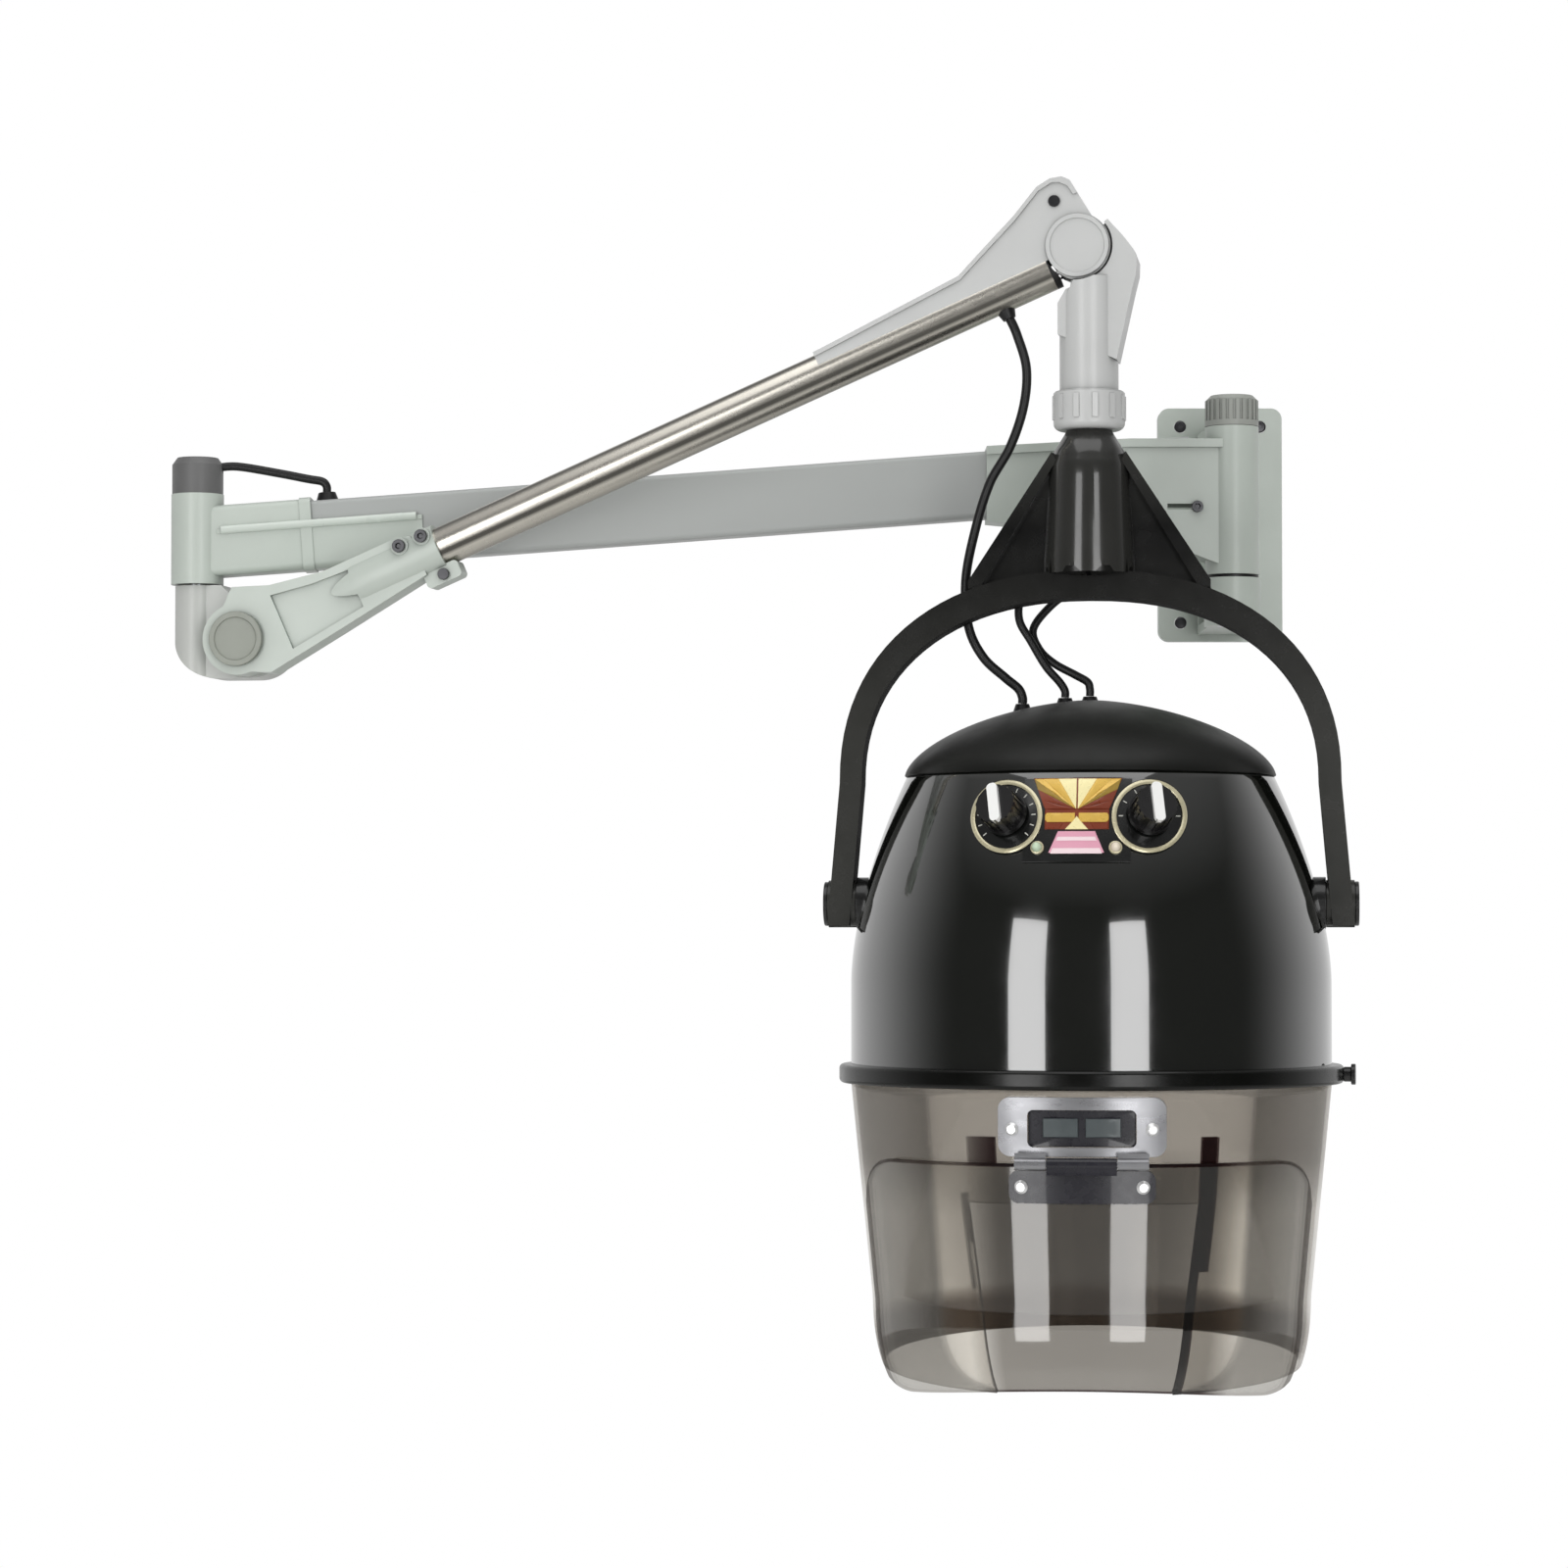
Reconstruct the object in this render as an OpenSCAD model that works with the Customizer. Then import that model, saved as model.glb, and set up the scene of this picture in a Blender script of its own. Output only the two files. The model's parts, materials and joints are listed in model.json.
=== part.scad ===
// Wall-mounted hood hair dryer on a two-part swinging arm.
// Origin: centre of the wall plate's back face. The wall is the plane Y = 0, and the
// dryer stands out from it towards -Y. +Z is up. Millimetres.

/* [Wall bracket] */
// Width of the wall plate
plate_w = 90; // [80:1:110]
// Height of the wall plate
plate_h = 170; // [165:1:190]
// Thickness of the wall plate
plate_t = 10; // [8:1:14]
// Distance between the screw holes, across
hole_dx = 58; // [50:1:62]
// Distance between the screw holes, up and down
hole_dz = 143; // [138:1:148]
// Diameter of the screw holes
hole_d = 9; // [6:0.5:10]
// Distance from the wall to the pivot axis
arm_out = 95; // [90:1:110]
// Radius of the wall pivot post
post_r = 11; // [9:0.5:12]
// Radius of the bracket's shelf round the post
shelf_r = 20; // [19:0.5:24]
// Height of the shelf
shelf_h = 34; // [25:1:40]

/* [Wall arm] */
// Length of the wall arm between its two pivots
arm_len = 735; // [650:5:800]
// Fall of the wall arm towards the elbow, in degrees
arm_drop = 4.2; // [3.5:0.1:5]
// Height of the arm tube
tube_h = 47; // [42:1:50]
// Depth of the arm tube
tube_d = 26; // [22:1:26]
// Wall of the arm tube
tube_wall = 2; // [1.5:0.5:3]
// Radius of the sleeve on the wall pivot
sleeve_r = 19; // [18:0.5:21]
// Length of the sleeve on the wall pivot
sleeve_len = 105; // [100:1:115]
// Radius of the elbow sleeve
elbow_r = 18.5; // [17.5:0.5:20]
// Length of the elbow sleeve
elbow_len = 64; // [60:1:70]
// Radius of the elbow pin
elbow_pin_r = 9; // [8:0.5:10]

/* [Forearm] */
// Length of the forearm between its two pivots
fore_len = 644.5; // [600:0.5:700]
// Rise of the forearm above level, in degrees
fore_rise = 23.85; // [20:0.05:25]
// Swing of the forearm out from the wall arm, in degrees
fore_swing = 9.63; // [9:0.01:14]
// Distance of the forearm in front of the elbow axis
fore_off = 24; // [24:0.5:28]
// Radius of the forearm's round tube
fore_tube_r = 14; // [13:0.5:14.5]
// Wall of the forearm's round tube
fore_tube_wall = 2; // [1.5:0.5:2.5]
// Radius of the lift pivot's boss
lift_boss_r = 25; // [24:0.5:27]
// Radius of the pivot bolts at both ends of the forearm
bolt_r = 4.5; // [4:0.25:5]
// Distance of the levelling link's pivots below the forearm's pivots
link_drop = 10; // [9.8:0.1:11]
// Radius of the levelling link's rod
link_r = 1.5; // [1:0.1:1.8]

/* [Head and yoke] */
// Distance from the forearm's end pivot down to the yoke
head_drop = 125; // [120:1:140]
// Radius of the head's stem
stem_r = 20; // [18:0.5:21]
// Radius of the collar at the stem's foot
collar_r = 24.3; // [23:0.1:26]
// Radius of the yoke's spindle
spindle_r = 10; // [8:0.5:11]
// Half width of the hoop at its crown, outside
hoop_a = 169; // [167:1:175]
// Height of the hoop's round crown, outside
hoop_b = 144; // [140:1:150]
// Thickness of the hoop's strap
hoop_t = 15; // [12:0.5:16]
// Depth of the hoop's strap, front to back
hoop_d = 32; // [26:1:38]
// Turn of the yoke about its upright axis, in degrees
yoke_turn = -6; // [-12:1:0]

/* [Hood] */
// Largest radius of the hood's shell
hood_r = 162; // [155:1:163]
// Radius of the shell where the cap begins
shoulder_r = 124; // [118:1:130]
// Height from the shell's rim to the cap
shell_h = 194; // [185:1:205]
// Height of the cap's dome
cap_h = 52; // [40:1:56]
// Thickness of the moulded walls
skin = 3; // [2.5:0.5:3.5]
// Radius of the flange between the shell and the skirt
flange_r = 170; // [168:1:172]
// Height of the flange
flange_h = 12.6; // [10:0.2:15]
// Height of the smoked skirt
skirt_h = 196; // [185:1:205]
// Thickness of the smoked skirt and the visor
clear_t = 2.5; // [2:0.5:3]
// Fall of the skirt's rim from the back to the front
rim_fall = 20; // [10:1:25]
// Gap between the skirt and the visor
visor_gap = 2; // [1.5:0.5:3]
// Radius of the two control knobs
knob_r = 15; // [12:0.5:17]

/* [Hidden] */
$fn = 72;
eps = 0.01;

// Fits and clearances
run_fit = 0.05;
gap = 0.3;

// Heights on the wall pivot, from the shelf up
shelf_top = -46;
washer_t = 2;
sleeve_z0 = shelf_top + washer_t + gap;
sleeve_z1 = sleeve_z0 + sleeve_len;
pin_cap_h = 22;
bush_t = 2;
bush_len = 18;
inlet_r = 6;

// Wall arm: its centre line passes this height at the wall pivot
arm_z = 32.7;
elbow_x = -arm_len * cos(arm_drop);
arm_end_z = arm_z - arm_len * sin(arm_drop);
elbow_z1 = arm_end_z + 34.5;
elbow_z0 = elbow_z1 - elbow_len;
elbow_cap_h = 26;
collar_wall = 1.5;
socket_end = 175;
cheek_end = arm_len - 161;
collar_end = arm_len - 83;

// Forearm, set out from the elbow axis
knuckle_z1 = elbow_z0 - gap;
lift_x = 40;
lift_z = knuckle_z1 - 40.7;
boss_t = 24;
knuckle_front = fore_off - boss_t / 2 - gap;
knuckle_back = 16;
knuckle_r = 15.5;
knuckle_end_r = 27.5;
trunnion_r = 18;
cheek_t = 7;
link_t = 5;
link_pin_r = 2.2;
link_eye_r = 4.6;

// The round tube dips a little from the line between the pivots
tube_tip = 0.6;
tube_u0 = 120;
tube_len = fore_len - 20 - tube_u0;
socket_len = 37;
screw_at = [13, 30];
grommet_s = fore_len - 62.5 - tube_u0;
grommet_r = 5;
plug_t = 4;

// Head, set out from the forearm's end pivot
head_x = 6.5;
tongue_t = 14.6;
tongue_r = 20;
fork_r = 22.5;
fork_t = 5.5;
fork_gap = 0.4;
fork_half = tongue_t / 2 + fork_gap + fork_t;
ring_cut_r = fork_r + 1.5;
collar_h = 26.4;
head_len = head_drop - gap;

reach_x = lift_x + fore_len * cos(fore_rise) + head_x;
axis_x = elbow_x + reach_x * cos(fore_swing) - fore_off * sin(fore_swing);
axis_y = -arm_out - reach_x * sin(fore_swing) - fore_off * cos(fore_swing);
head_z = lift_z + fore_len * sin(fore_rise);
yoke_z = head_z - head_drop;

// Yoke, down from its top face
crown_drop = 95.5;
hoop_leg = 53;
hoop_end_drop = 336;
tilt_drop = 321;
tilt_z = yoke_z - tilt_drop;
leg_half = 173.6;
foot_half = 177.6;
web_half = 82;
web_top = 15;
web_t = 9;
spindle_deep = 62;
lead_hole_z = 88;
lead_hole_r = 6.5;

// Hood, from the tilt axis
rim_z = -108;
cap_z = rim_z + shell_h;
belly_z = -53;
flange_z0 = rim_z - flange_h;
skirt_z0 = flange_z0 - skirt_h;
skirt_curl = 52;
skirt_in = 20;
skirt_lean = 14.5;
window_a = 29;
visor_top = flange_z0 - 47.4;
visor_low = skirt_z0 - 8;
visor_rise = 10;
// well outside the hood, for cutting through it
beyond = hood_r + 98;
visor_r0 = clear_t + visor_gap;
pivot_r = 18;
pivot_pin_r = 6;
hinge_y = -(hood_r - 4 + visor_r0 + 3.5);
hinge_z = visor_top + 0.5;
hinge_pin_r = 2;
hinge_barrel_r = 4;
hinge_w = 92;
bowl_z1 = -28;
fan_z = -14;
motor_z = 24;

// The shell swells from its shoulder down to the belly, then runs straight to the rim.
swell = 1.7;
function shell_at(z) =
    z < belly_z ? hood_r
    : hood_r - (hood_r - shoulder_r) * pow((z - belly_z) / (cap_z - belly_z), swell);
function shell_line(inset, n) =
    [for (i = [0 : n]) let (z = cap_z - (cap_z - belly_z) * i / n) [shell_at(z) - inset, z]];

// The skirt leans in towards its rim and curls under at the end.
function skirt_at(z) =
    let (t = flange_z0 - z, lean_h = skirt_h - skirt_curl)
    t < lean_h ? hood_r - skirt_lean * t / lean_h
    : hood_r - skirt_lean - skirt_in * (1 - sqrt(max(0, 1 - pow((t - lean_h) / (skirt_curl + 8), 2))));
function skirt_line(grow, z0, z1, n) =
    [for (i = [0 : n]) let (z = z0 + (z1 - z0) * i / n) [skirt_at(z) + grow, z]];

// Superellipse arc from angle a0 to a1, for the cap and the hoop.
function squircle(a, b, m, a0, a1, n) =
    [for (i = [0 : n]) let (t = a0 + (a1 - a0) * i / n)
        [a * sign(cos(t)) * pow(abs(cos(t)), 2 / m), b * pow(abs(sin(t)), 2 / m)]];
function reversed(list) = [for (i = [len(list) - 1 : -1 : 0]) list[i]];

// Frames
module at_arm() {
    translate([0, -arm_out, arm_z]) rotate([0, -arm_drop, 0]) children();
}
module at_elbow() {
    translate([elbow_x, -arm_out, 0]) rotate([0, 0, -fore_swing]) children();
}
module at_lift() {
    at_elbow() translate([lift_x, -fore_off, lift_z]) children();
}
module at_fore() {
    at_lift() rotate([0, -fore_rise, 0]) children();
}
module at_tube() {
    at_fore() translate([tube_u0, 0, 0]) rotate([0, tube_tip, 0]) children();
}
module at_head() {
    at_fore() translate([fore_len, 0, 0]) rotate([0, fore_rise, 0]) children();
}
module at_yoke() {
    translate([axis_x, axis_y, yoke_z]) rotate([0, 0, yoke_turn]) children();
}
module at_hood() {
    translate([axis_x, axis_y, tilt_z]) rotate([0, 0, yoke_turn]) children();
}

// Shape helpers
module rounded(w, h, r) {
    square([w - 2 * r, h], center = true);
    square([w, h - 2 * r], center = true);
    for (x = [-1, 1], y = [-1, 1]) translate([x * (w / 2 - r), y * (h / 2 - r)]) circle(r);
}
// An outline drawn in X and Z, made y0 to y1 thick
module slab(y0, y1) {
    translate([0, y1, 0]) rotate([90, 0, 0]) linear_extrude(y1 - y0) children();
}
// A cylinder along Y
module rod_y(r, y0, y1) {
    translate([0, y1, 0]) rotate([90, 0, 0]) cylinder(r = r, h = y1 - y0);
}
// A cylinder along X
module rod_x(r, x0, x1) {
    translate([x0, 0, 0]) rotate([0, 90, 0]) cylinder(r = r, h = x1 - x0);
}
module tube(r, r_in, z0, z1) {
    difference() {
        translate([0, 0, z0]) cylinder(r = r, h = z1 - z0);
        translate([0, 0, z0 - 1]) cylinder(r = r_in, h = z1 - z0 + 2);
    }
}
// Height and depth of the arm tube, swept from s0 to s1 along the arm
module along_arm(s0, s1) {
    translate([-s1, 0, 0]) rotate([0, 90, 0]) linear_extrude(s1 - s0) children();
}
// A cable along the points i0 to i1 of a line, as one closed tube of n sides
module cable(pts, i0, i1, r, n) {
    last = i1 - i0;
    rings = [for (i = [i0 : i1])
        let (a = pts[max(0, i - 1)], b = pts[min(len(pts) - 1, i + 1)], d = (b - a) / norm(b - a),
             u = cross(d, [0.1, 1, 0.05]), e1 = u / norm(u), e2 = cross(d, e1))
        for (k = [0 : n - 1]) pts[i] + r * (cos(360 * k / n) * e1 + sin(360 * k / n) * e2)];
    sides = [for (i = [0 : last - 1], k = [0 : n - 1])
        let (p = i * n + k, q = i * n + (k + 1) % n) each [[p, p + n, q + n], [p, q + n, q]]];
    ends = [for (k = [1 : n - 2]) each
        [[0, k, k + 1], [last * n, last * n + k + 1, last * n + k]]];
    polyhedron(points = rings, faces = concat(sides, ends));
}
// Points on a smooth curve through the given ones
function catmull(p, i, t) =
    let (a = p[max(0, i - 1)], b = p[i], c = p[i + 1], d = p[min(len(p) - 1, i + 2)])
    0.5 * (2 * b + (c - a) * t + (2 * a - 5 * b + 4 * c - d) * t * t
        + (3 * b - a - 3 * c + d) * t * t * t);
function smooth(p, n) = concat(
    [for (i = [0 : len(p) - 2], k = [0 : n - 1]) catmull(p, i, k / n)], [p[len(p) - 1]]);

// ---------------------------------------------------------------- wall bracket
module wall_plate() color([0.66, 0.69, 0.66]) {
    difference() {
        union() {
            slab(-plate_t, 0) rounded(plate_w, plate_h, 8);
            // raised spine that carries the shelf
            slab(-plate_t - 6, -plate_t) rounded(34, plate_h - 34, 6);
            // shelf with its foot on the spine
            translate([0, -arm_out, shelf_top - shelf_h]) cylinder(r = shelf_r, h = shelf_h);
            translate([-17, -arm_out, shelf_top - shelf_h]) cube([34, arm_out - plate_t, shelf_h]);
        }
        for (x = [-1, 1], z = [-1, 1]) translate([x * hole_dx / 2, 0, z * hole_dz / 2])
            rod_y(hole_d / 2, -plate_t - 1, 1);
        // the post's seat, and the cable's way in from below
        translate([0, -arm_out, shelf_top - shelf_h - 1]) cylinder(r = post_r, h = shelf_h + 2);
        // pockets that lighten the web on both sides
        for (x = [-1, 1]) translate([x * 17, -arm_out + shelf_r + 4, shelf_top - shelf_h + 6])
            translate([-5, 0, 0]) cube([10, arm_out - plate_t - shelf_r - 16, shelf_h - 12]);
    }
}
module wall_pivot_pin() color([0.7, 0.7, 0.72]) translate([0, -arm_out, 0]) {
    tube(post_r, inlet_r, shelf_top - shelf_h, sleeve_z1 - 3);
}
module wall_pin_cap() color([0.3, 0.3, 0.31]) translate([0, -arm_out, 0]) {
    difference() {
        union() {
            translate([0, 0, sleeve_z1 + gap]) cylinder(r = sleeve_r, h = 4);
            for (k = [0 : 23]) rotate([0, 0, 15 * k + 7.5])
                translate([sleeve_r - 1.9, -1.3, sleeve_z1 + gap + 3]) cube([1.7, 2.6, pin_cap_h - 6.5]);
            translate([0, 0, sleeve_z1 + gap]) cylinder(r = sleeve_r - 1, h = pin_cap_h - 3);
            translate([0, 0, sleeve_z1 + gap + pin_cap_h - 3])
                cylinder(r1 = sleeve_r - 1, r2 = sleeve_r - 4, h = 3);
        }
        translate([0, 0, sleeve_z1 - 1]) cylinder(r = inlet_r + 1, h = 6);
    }
    // the cap's plug in the hollow post
    tube(inlet_r - 0.1, inlet_r - 2, sleeve_z1 - 14, sleeve_z1 + gap + 6);
}
module wall_thrust_washer() color([0.15, 0.15, 0.15]) translate([0, -arm_out, 0]) {
    tube(sleeve_r - 0.5, post_r + run_fit, shelf_top, shelf_top + washer_t);
}

// ------------------------------------------------------------------- wall arm
module arm_cut(grow, s0, s1) {
    at_arm() along_arm(s0, s1) rounded(tube_h + 2 * grow, tube_d + 2 * grow, 4);
}
module wall_sleeve() color([0.69, 0.73, 0.7]) {
    web_top_z = sleeve_z1 - 9.6;
    end_x = -socket_end * cos(arm_drop);
    end_z = arm_z - socket_end * sin(arm_drop);
    half = tube_h / 2 + 3;
    difference() {
        union() {
            translate([0, -arm_out, sleeve_z0]) cylinder(r = sleeve_r, h = sleeve_len);
            translate([0, -arm_out, 0]) slab(-tube_d / 2 - 2.5, tube_d / 2 + 2.5) polygon([
                [-8, web_top_z], [-74, web_top_z], [end_x, end_z + half],
                [end_x, end_z - half], [-60, sleeve_z0 + 26], [-8, sleeve_z0 + 6]]);
            // raised rim along the top edge of the web
            translate([0, -arm_out, 0]) slab(-tube_d / 2 - 4.5, tube_d / 2 + 4.5) polygon([
                [-8, web_top_z], [-74, web_top_z], [end_x, end_z + half],
                [end_x, end_z + half - 6], [-74, web_top_z - 6], [-8, web_top_z - 6]]);
        }
        translate([0, -arm_out, sleeve_z0 - 1]) cylinder(r = post_r + bush_t, h = sleeve_len + 2);
        arm_cut(0, 30, socket_end + 5);
        // clamp slot
        translate([-47, -arm_out - 30, 1.7]) cube([25, 60, 4]);
    }
}
module wall_bushes() color([0.85, 0.8, 0.6]) translate([0, -arm_out, 0]) {
    tube(post_r + bush_t, post_r + run_fit, sleeve_z0, sleeve_z0 + bush_len);
    tube(post_r + bush_t, post_r + run_fit, sleeve_z1 - bush_len, sleeve_z1);
}
module clamp_screw() color([0.35, 0.35, 0.36]) translate([-26, -arm_out, 3.7]) {
    difference() {
        rod_y(4, -tube_d / 2 - 5.5, -tube_d / 2 - 2.5);
        rotate([90, 0, 0]) translate([0, 0, tube_d / 2 + 3.5]) cylinder(r = 2, h = 4, $fn = 6);
    }
    rod_y(1.9, -tube_d / 2 - 3, tube_d / 2 + 2.5);
}
module arm_tube() color([0.78, 0.79, 0.78]) {
    difference() {
        arm_cut(0, 30, arm_len - elbow_r - 2);
        arm_cut(-tube_wall, 20, arm_len);
        // cable hole under the loop's grommet
        loop_hole() cylinder(r = 4, h = 20, center = true);
    }
}
loop_s = arm_len - 94;
module loop_hole() {
    at_arm() translate([-loop_s, 0, tube_h / 2]) children();
}
module elbow_casting() color([0.69, 0.73, 0.7]) {
    grow = collar_wall;
    difference() {
        union() {
            translate([elbow_x, -arm_out, elbow_z0]) cylinder(r = elbow_r, h = elbow_len);
            // full-height collar, and cheeks that run on along the tube's lower half
            at_arm() along_arm(collar_end, arm_len) rounded(tube_h + 2 * grow, tube_d + 2 * grow, 5);
            intersection() {
                at_arm() along_arm(cheek_end, arm_len - 5)
                    rounded(tube_h + 2 * grow, tube_d + 2 * grow, 5);
                at_arm() translate([-arm_len, -50, -60]) cube([arm_len - cheek_end, 100, 66]);
            }
            // rib along the cheeks' upper edge, and a band at the collar's mouth
            at_arm() translate([-arm_len + 16, 0, 6]) rotate([0, 90, 0])
                linear_extrude(arm_len - 16 - cheek_end) square([3, tube_d + 2 * grow + 1.4], center = true);
            at_arm() along_arm(collar_end, collar_end + 8)
                rounded(tube_h + 2 * grow + 2, tube_d + 2 * grow + 1.4, 5);
        }
        arm_cut(0, cheek_end - 20, arm_len - elbow_r - 1);
        translate([elbow_x, -arm_out, elbow_z0 - 1]) cylinder(r = elbow_pin_r + bush_t, h = elbow_len + 2);
    }
}
module elbow_bush() color([0.85, 0.8, 0.6]) translate([elbow_x, -arm_out, 0]) {
    tube(elbow_pin_r + bush_t, elbow_pin_r + run_fit, elbow_z0, elbow_z1);
}
module elbow_cap() color([0.32, 0.32, 0.33]) translate([elbow_x, -arm_out, elbow_z1]) {
    difference() {
        union() {
            cylinder(r = elbow_r - 0.5, h = elbow_cap_h - 5);
            translate([0, 0, elbow_cap_h - 5]) cylinder(r1 = elbow_r - 0.5, r2 = elbow_r - 4, h = 5);
        }
        translate([0, 0, -1]) cylinder(r = elbow_pin_r + 1, h = elbow_cap_h - 3);
        translate([0, 0, elbow_cap_h - 7]) rod_x(loop_r + 1, 0, elbow_r + 5);
    }
}
module loop_grommet() color([0.1, 0.1, 0.1]) loop_hole() {
    difference() {
        union() {
            cylinder(r1 = 8, r2 = 6, h = 6);
            translate([0, 0, -tube_wall]) cylinder(r = 4, h = tube_wall + 1);
        }
        translate([0, 0, -tube_wall - 1]) cylinder(r = 2.5, h = 5);
    }
}

// The loop of cable between the elbow cap and the arm tube, in X and Z on the arm's plane
loop_r = 3;
loop_pts = [[12, 0, 19], [27.8, 0, 20.2], [56.3, 0, 15.6], [78, 0, 11.4], [88, 0, 9.6], [91.3, 0, 6.2],
    [91.6, 0, 2.1]];
module elbow_loop_cable() color([0.08, 0.08, 0.08]) translate([elbow_x, -arm_out, elbow_z1]) {
    let (line = smooth(loop_pts, per_leg)) cable(line, 0, len(line) - 1, loop_r, 8);
}

// -------------------------------------------------------------------- knuckle
module knuckle_side() {
    corner = 36;
    // left of the column's round face, so that the round corner cuts it cleanly
    left = -knuckle_r - 0.6;
    low = lift_z + 1.3 - knuckle_end_r;
    step_z = knuckle_z1 - 6;
    translate([lift_x + 3, lift_z + 1.3]) circle(knuckle_end_r);
    intersection() {
        translate([left + corner, low + corner]) circle(corner);
        translate([left, low]) square([corner, corner]);
    }
    translate([left + corner, low]) square([lift_x + 3 - corner - left, corner]);
    polygon([[left, knuckle_z1], [20, knuckle_z1], [26, step_z], [lift_x + 18, step_z],
        [lift_x + 18, lift_z], [lift_x, low + corner], [left, low + corner]]);
}
module knuckle() color([0.72, 0.73, 0.71]) at_elbow() {
    difference() {
        intersection() {
            slab(-knuckle_r, knuckle_back) knuckle_side();
            translate([0, 0, lift_z - 40]) linear_extrude(80) {
                circle(knuckle_r);
                translate([0, -knuckle_front]) square([lift_x + 40, knuckle_front + knuckle_back]);
            }
        }
        // room for the forearm's boss in front of the trunnion
        translate([lift_x, 0, lift_z]) rod_y(lift_boss_r + 1, -40, -knuckle_front);
        translate([0, 0, lift_z + 8]) cylinder(r = elbow_pin_r, h = 60);
        // spring chamber and bolt hole
        translate([lift_x, 0, lift_z]) rod_y(17, -4, knuckle_back + 5);
        translate([lift_x, 0, lift_z]) rod_y(bolt_r, -40, knuckle_back + 5);
    }
    // trunnion that the forearm turns on, and the levelling link's fixed pin
    translate([lift_x, 0, lift_z]) difference() {
        union() {
            rod_y(trunnion_r - run_fit, -knuckle_front - cheek_t, -knuckle_front + 1);
            translate([0, 0, -link_drop])
                rod_y(link_pin_r, -fore_off - link_t / 2 - 0.5, -knuckle_front - cheek_t + 1);
        }
        rod_y(bolt_r, -40, 5);
    }
}
module elbow_pin() color([0.72, 0.72, 0.74]) at_elbow() {
    tube(elbow_pin_r, 5, lift_z + 8, elbow_z1 + elbow_cap_h - 6);
}
// Torsion spring round the lift bolt: one unbroken coil with a straight leg at each end
module lift_spring() color([0.4, 0.4, 0.42]) at_elbow() translate([lift_x, 0, lift_z]) {
    coil_r = 12.5;
    turns = 4;
    pitch = 3.6;
    per_turn = 16;
    pts = [for (i = [0 : turns * per_turn])
        let (a = 360 * i / per_turn)
        [coil_r * cos(a), pitch * i / per_turn - 1.2, coil_r * sin(a)]];
    cable(pts, 0, len(pts) - 1, 1.4, 6);
}

// -------------------------------------------------------------------- forearm
module lower_side() {
    circle(lift_boss_r);
    polygon([[0, lift_boss_r], [11, 35], [36, 25], [76, 17.5], [130, 17], [142, 14],
        [142, -15.5], [73, -24.3], [13, -31.5], [0, -lift_boss_r]]);
}
module lower_casting() color([0.69, 0.74, 0.7]) {
    half = boss_t / 2;
    socket_r = fore_tube_r + 3;
    difference() {
        union() {
            at_fore() slab(-half, half) lower_side();
            at_tube() rod_x(socket_r, -25, socket_len);
            at_tube() translate([-80, 0, 0]) rotate([0, 90, 0]) cylinder(r1 = 10, r2 = socket_r, h = 55);
            // pads of the socket's screws
            at_tube() for (x = screw_at) translate([x, 0, 10]) rod_y(6, -socket_r - 0.2, 0);
            // clamp lugs under the socket
            at_tube() translate([32, 0, -socket_r - 2]) slab(-9, 9) rounded(26, 12, 3);
        }
        at_fore() {
            // rear cheek turns on the trunnion, front cheek on the bolt
            rod_y(trunnion_r, half - cheek_t, half + 1);
            rod_y(bolt_r + run_fit, -half - 1, half);
            // chamber of the levelling link
            rod_y(trunnion_r + 3, -half + cheek_t, half - cheek_t);
            slab(-link_t, link_t) polygon([[0, -trunnion_r - 3], [60, -18], [tube_u0 + 1, -15],
                [tube_u0 + 1, 7], [60, 8], [0, trunnion_r + 3]]);
            // sunk panels between the raised edges
            for (y = [-half, half]) slab(y - 2.5, y + 2.5)
                polygon([[34, 18], [64, 13], [92, 11], [92, -17], [34, -23]]);
        }
        at_tube() rod_x(fore_tube_r, 0, socket_len + 15);
    }
}
module fore_tube() color([0.85, 0.86, 0.88]) at_tube() {
    difference() {
        rod_x(fore_tube_r, 0, tube_len - plug_t);
        rod_x(fore_tube_r - fore_tube_wall, -1, tube_len);
        // the cord comes out underneath
        translate([grommet_s, 0, 0]) rotate([180, 0, 0]) cylinder(r = grommet_r, h = 30);
    }
}
module tube_end_plug() color([0.06, 0.06, 0.06]) {
    difference() {
        at_tube() {
            rod_x(fore_tube_r, tube_len - plug_t, tube_len);
            rod_x(fore_tube_r - fore_tube_wall, tube_len - 3 * plug_t, tube_len - plug_t + eps);
        }
        // way through for the levelling link, and room round the end pivot
        at_fore() translate([fore_len - 40, -4, -link_drop - 3]) cube([40, 8, 8.5]);
        at_fore() translate([fore_len, 0, 0]) rod_y(ring_cut_r - 1, -30, 30);
    }
}
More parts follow.
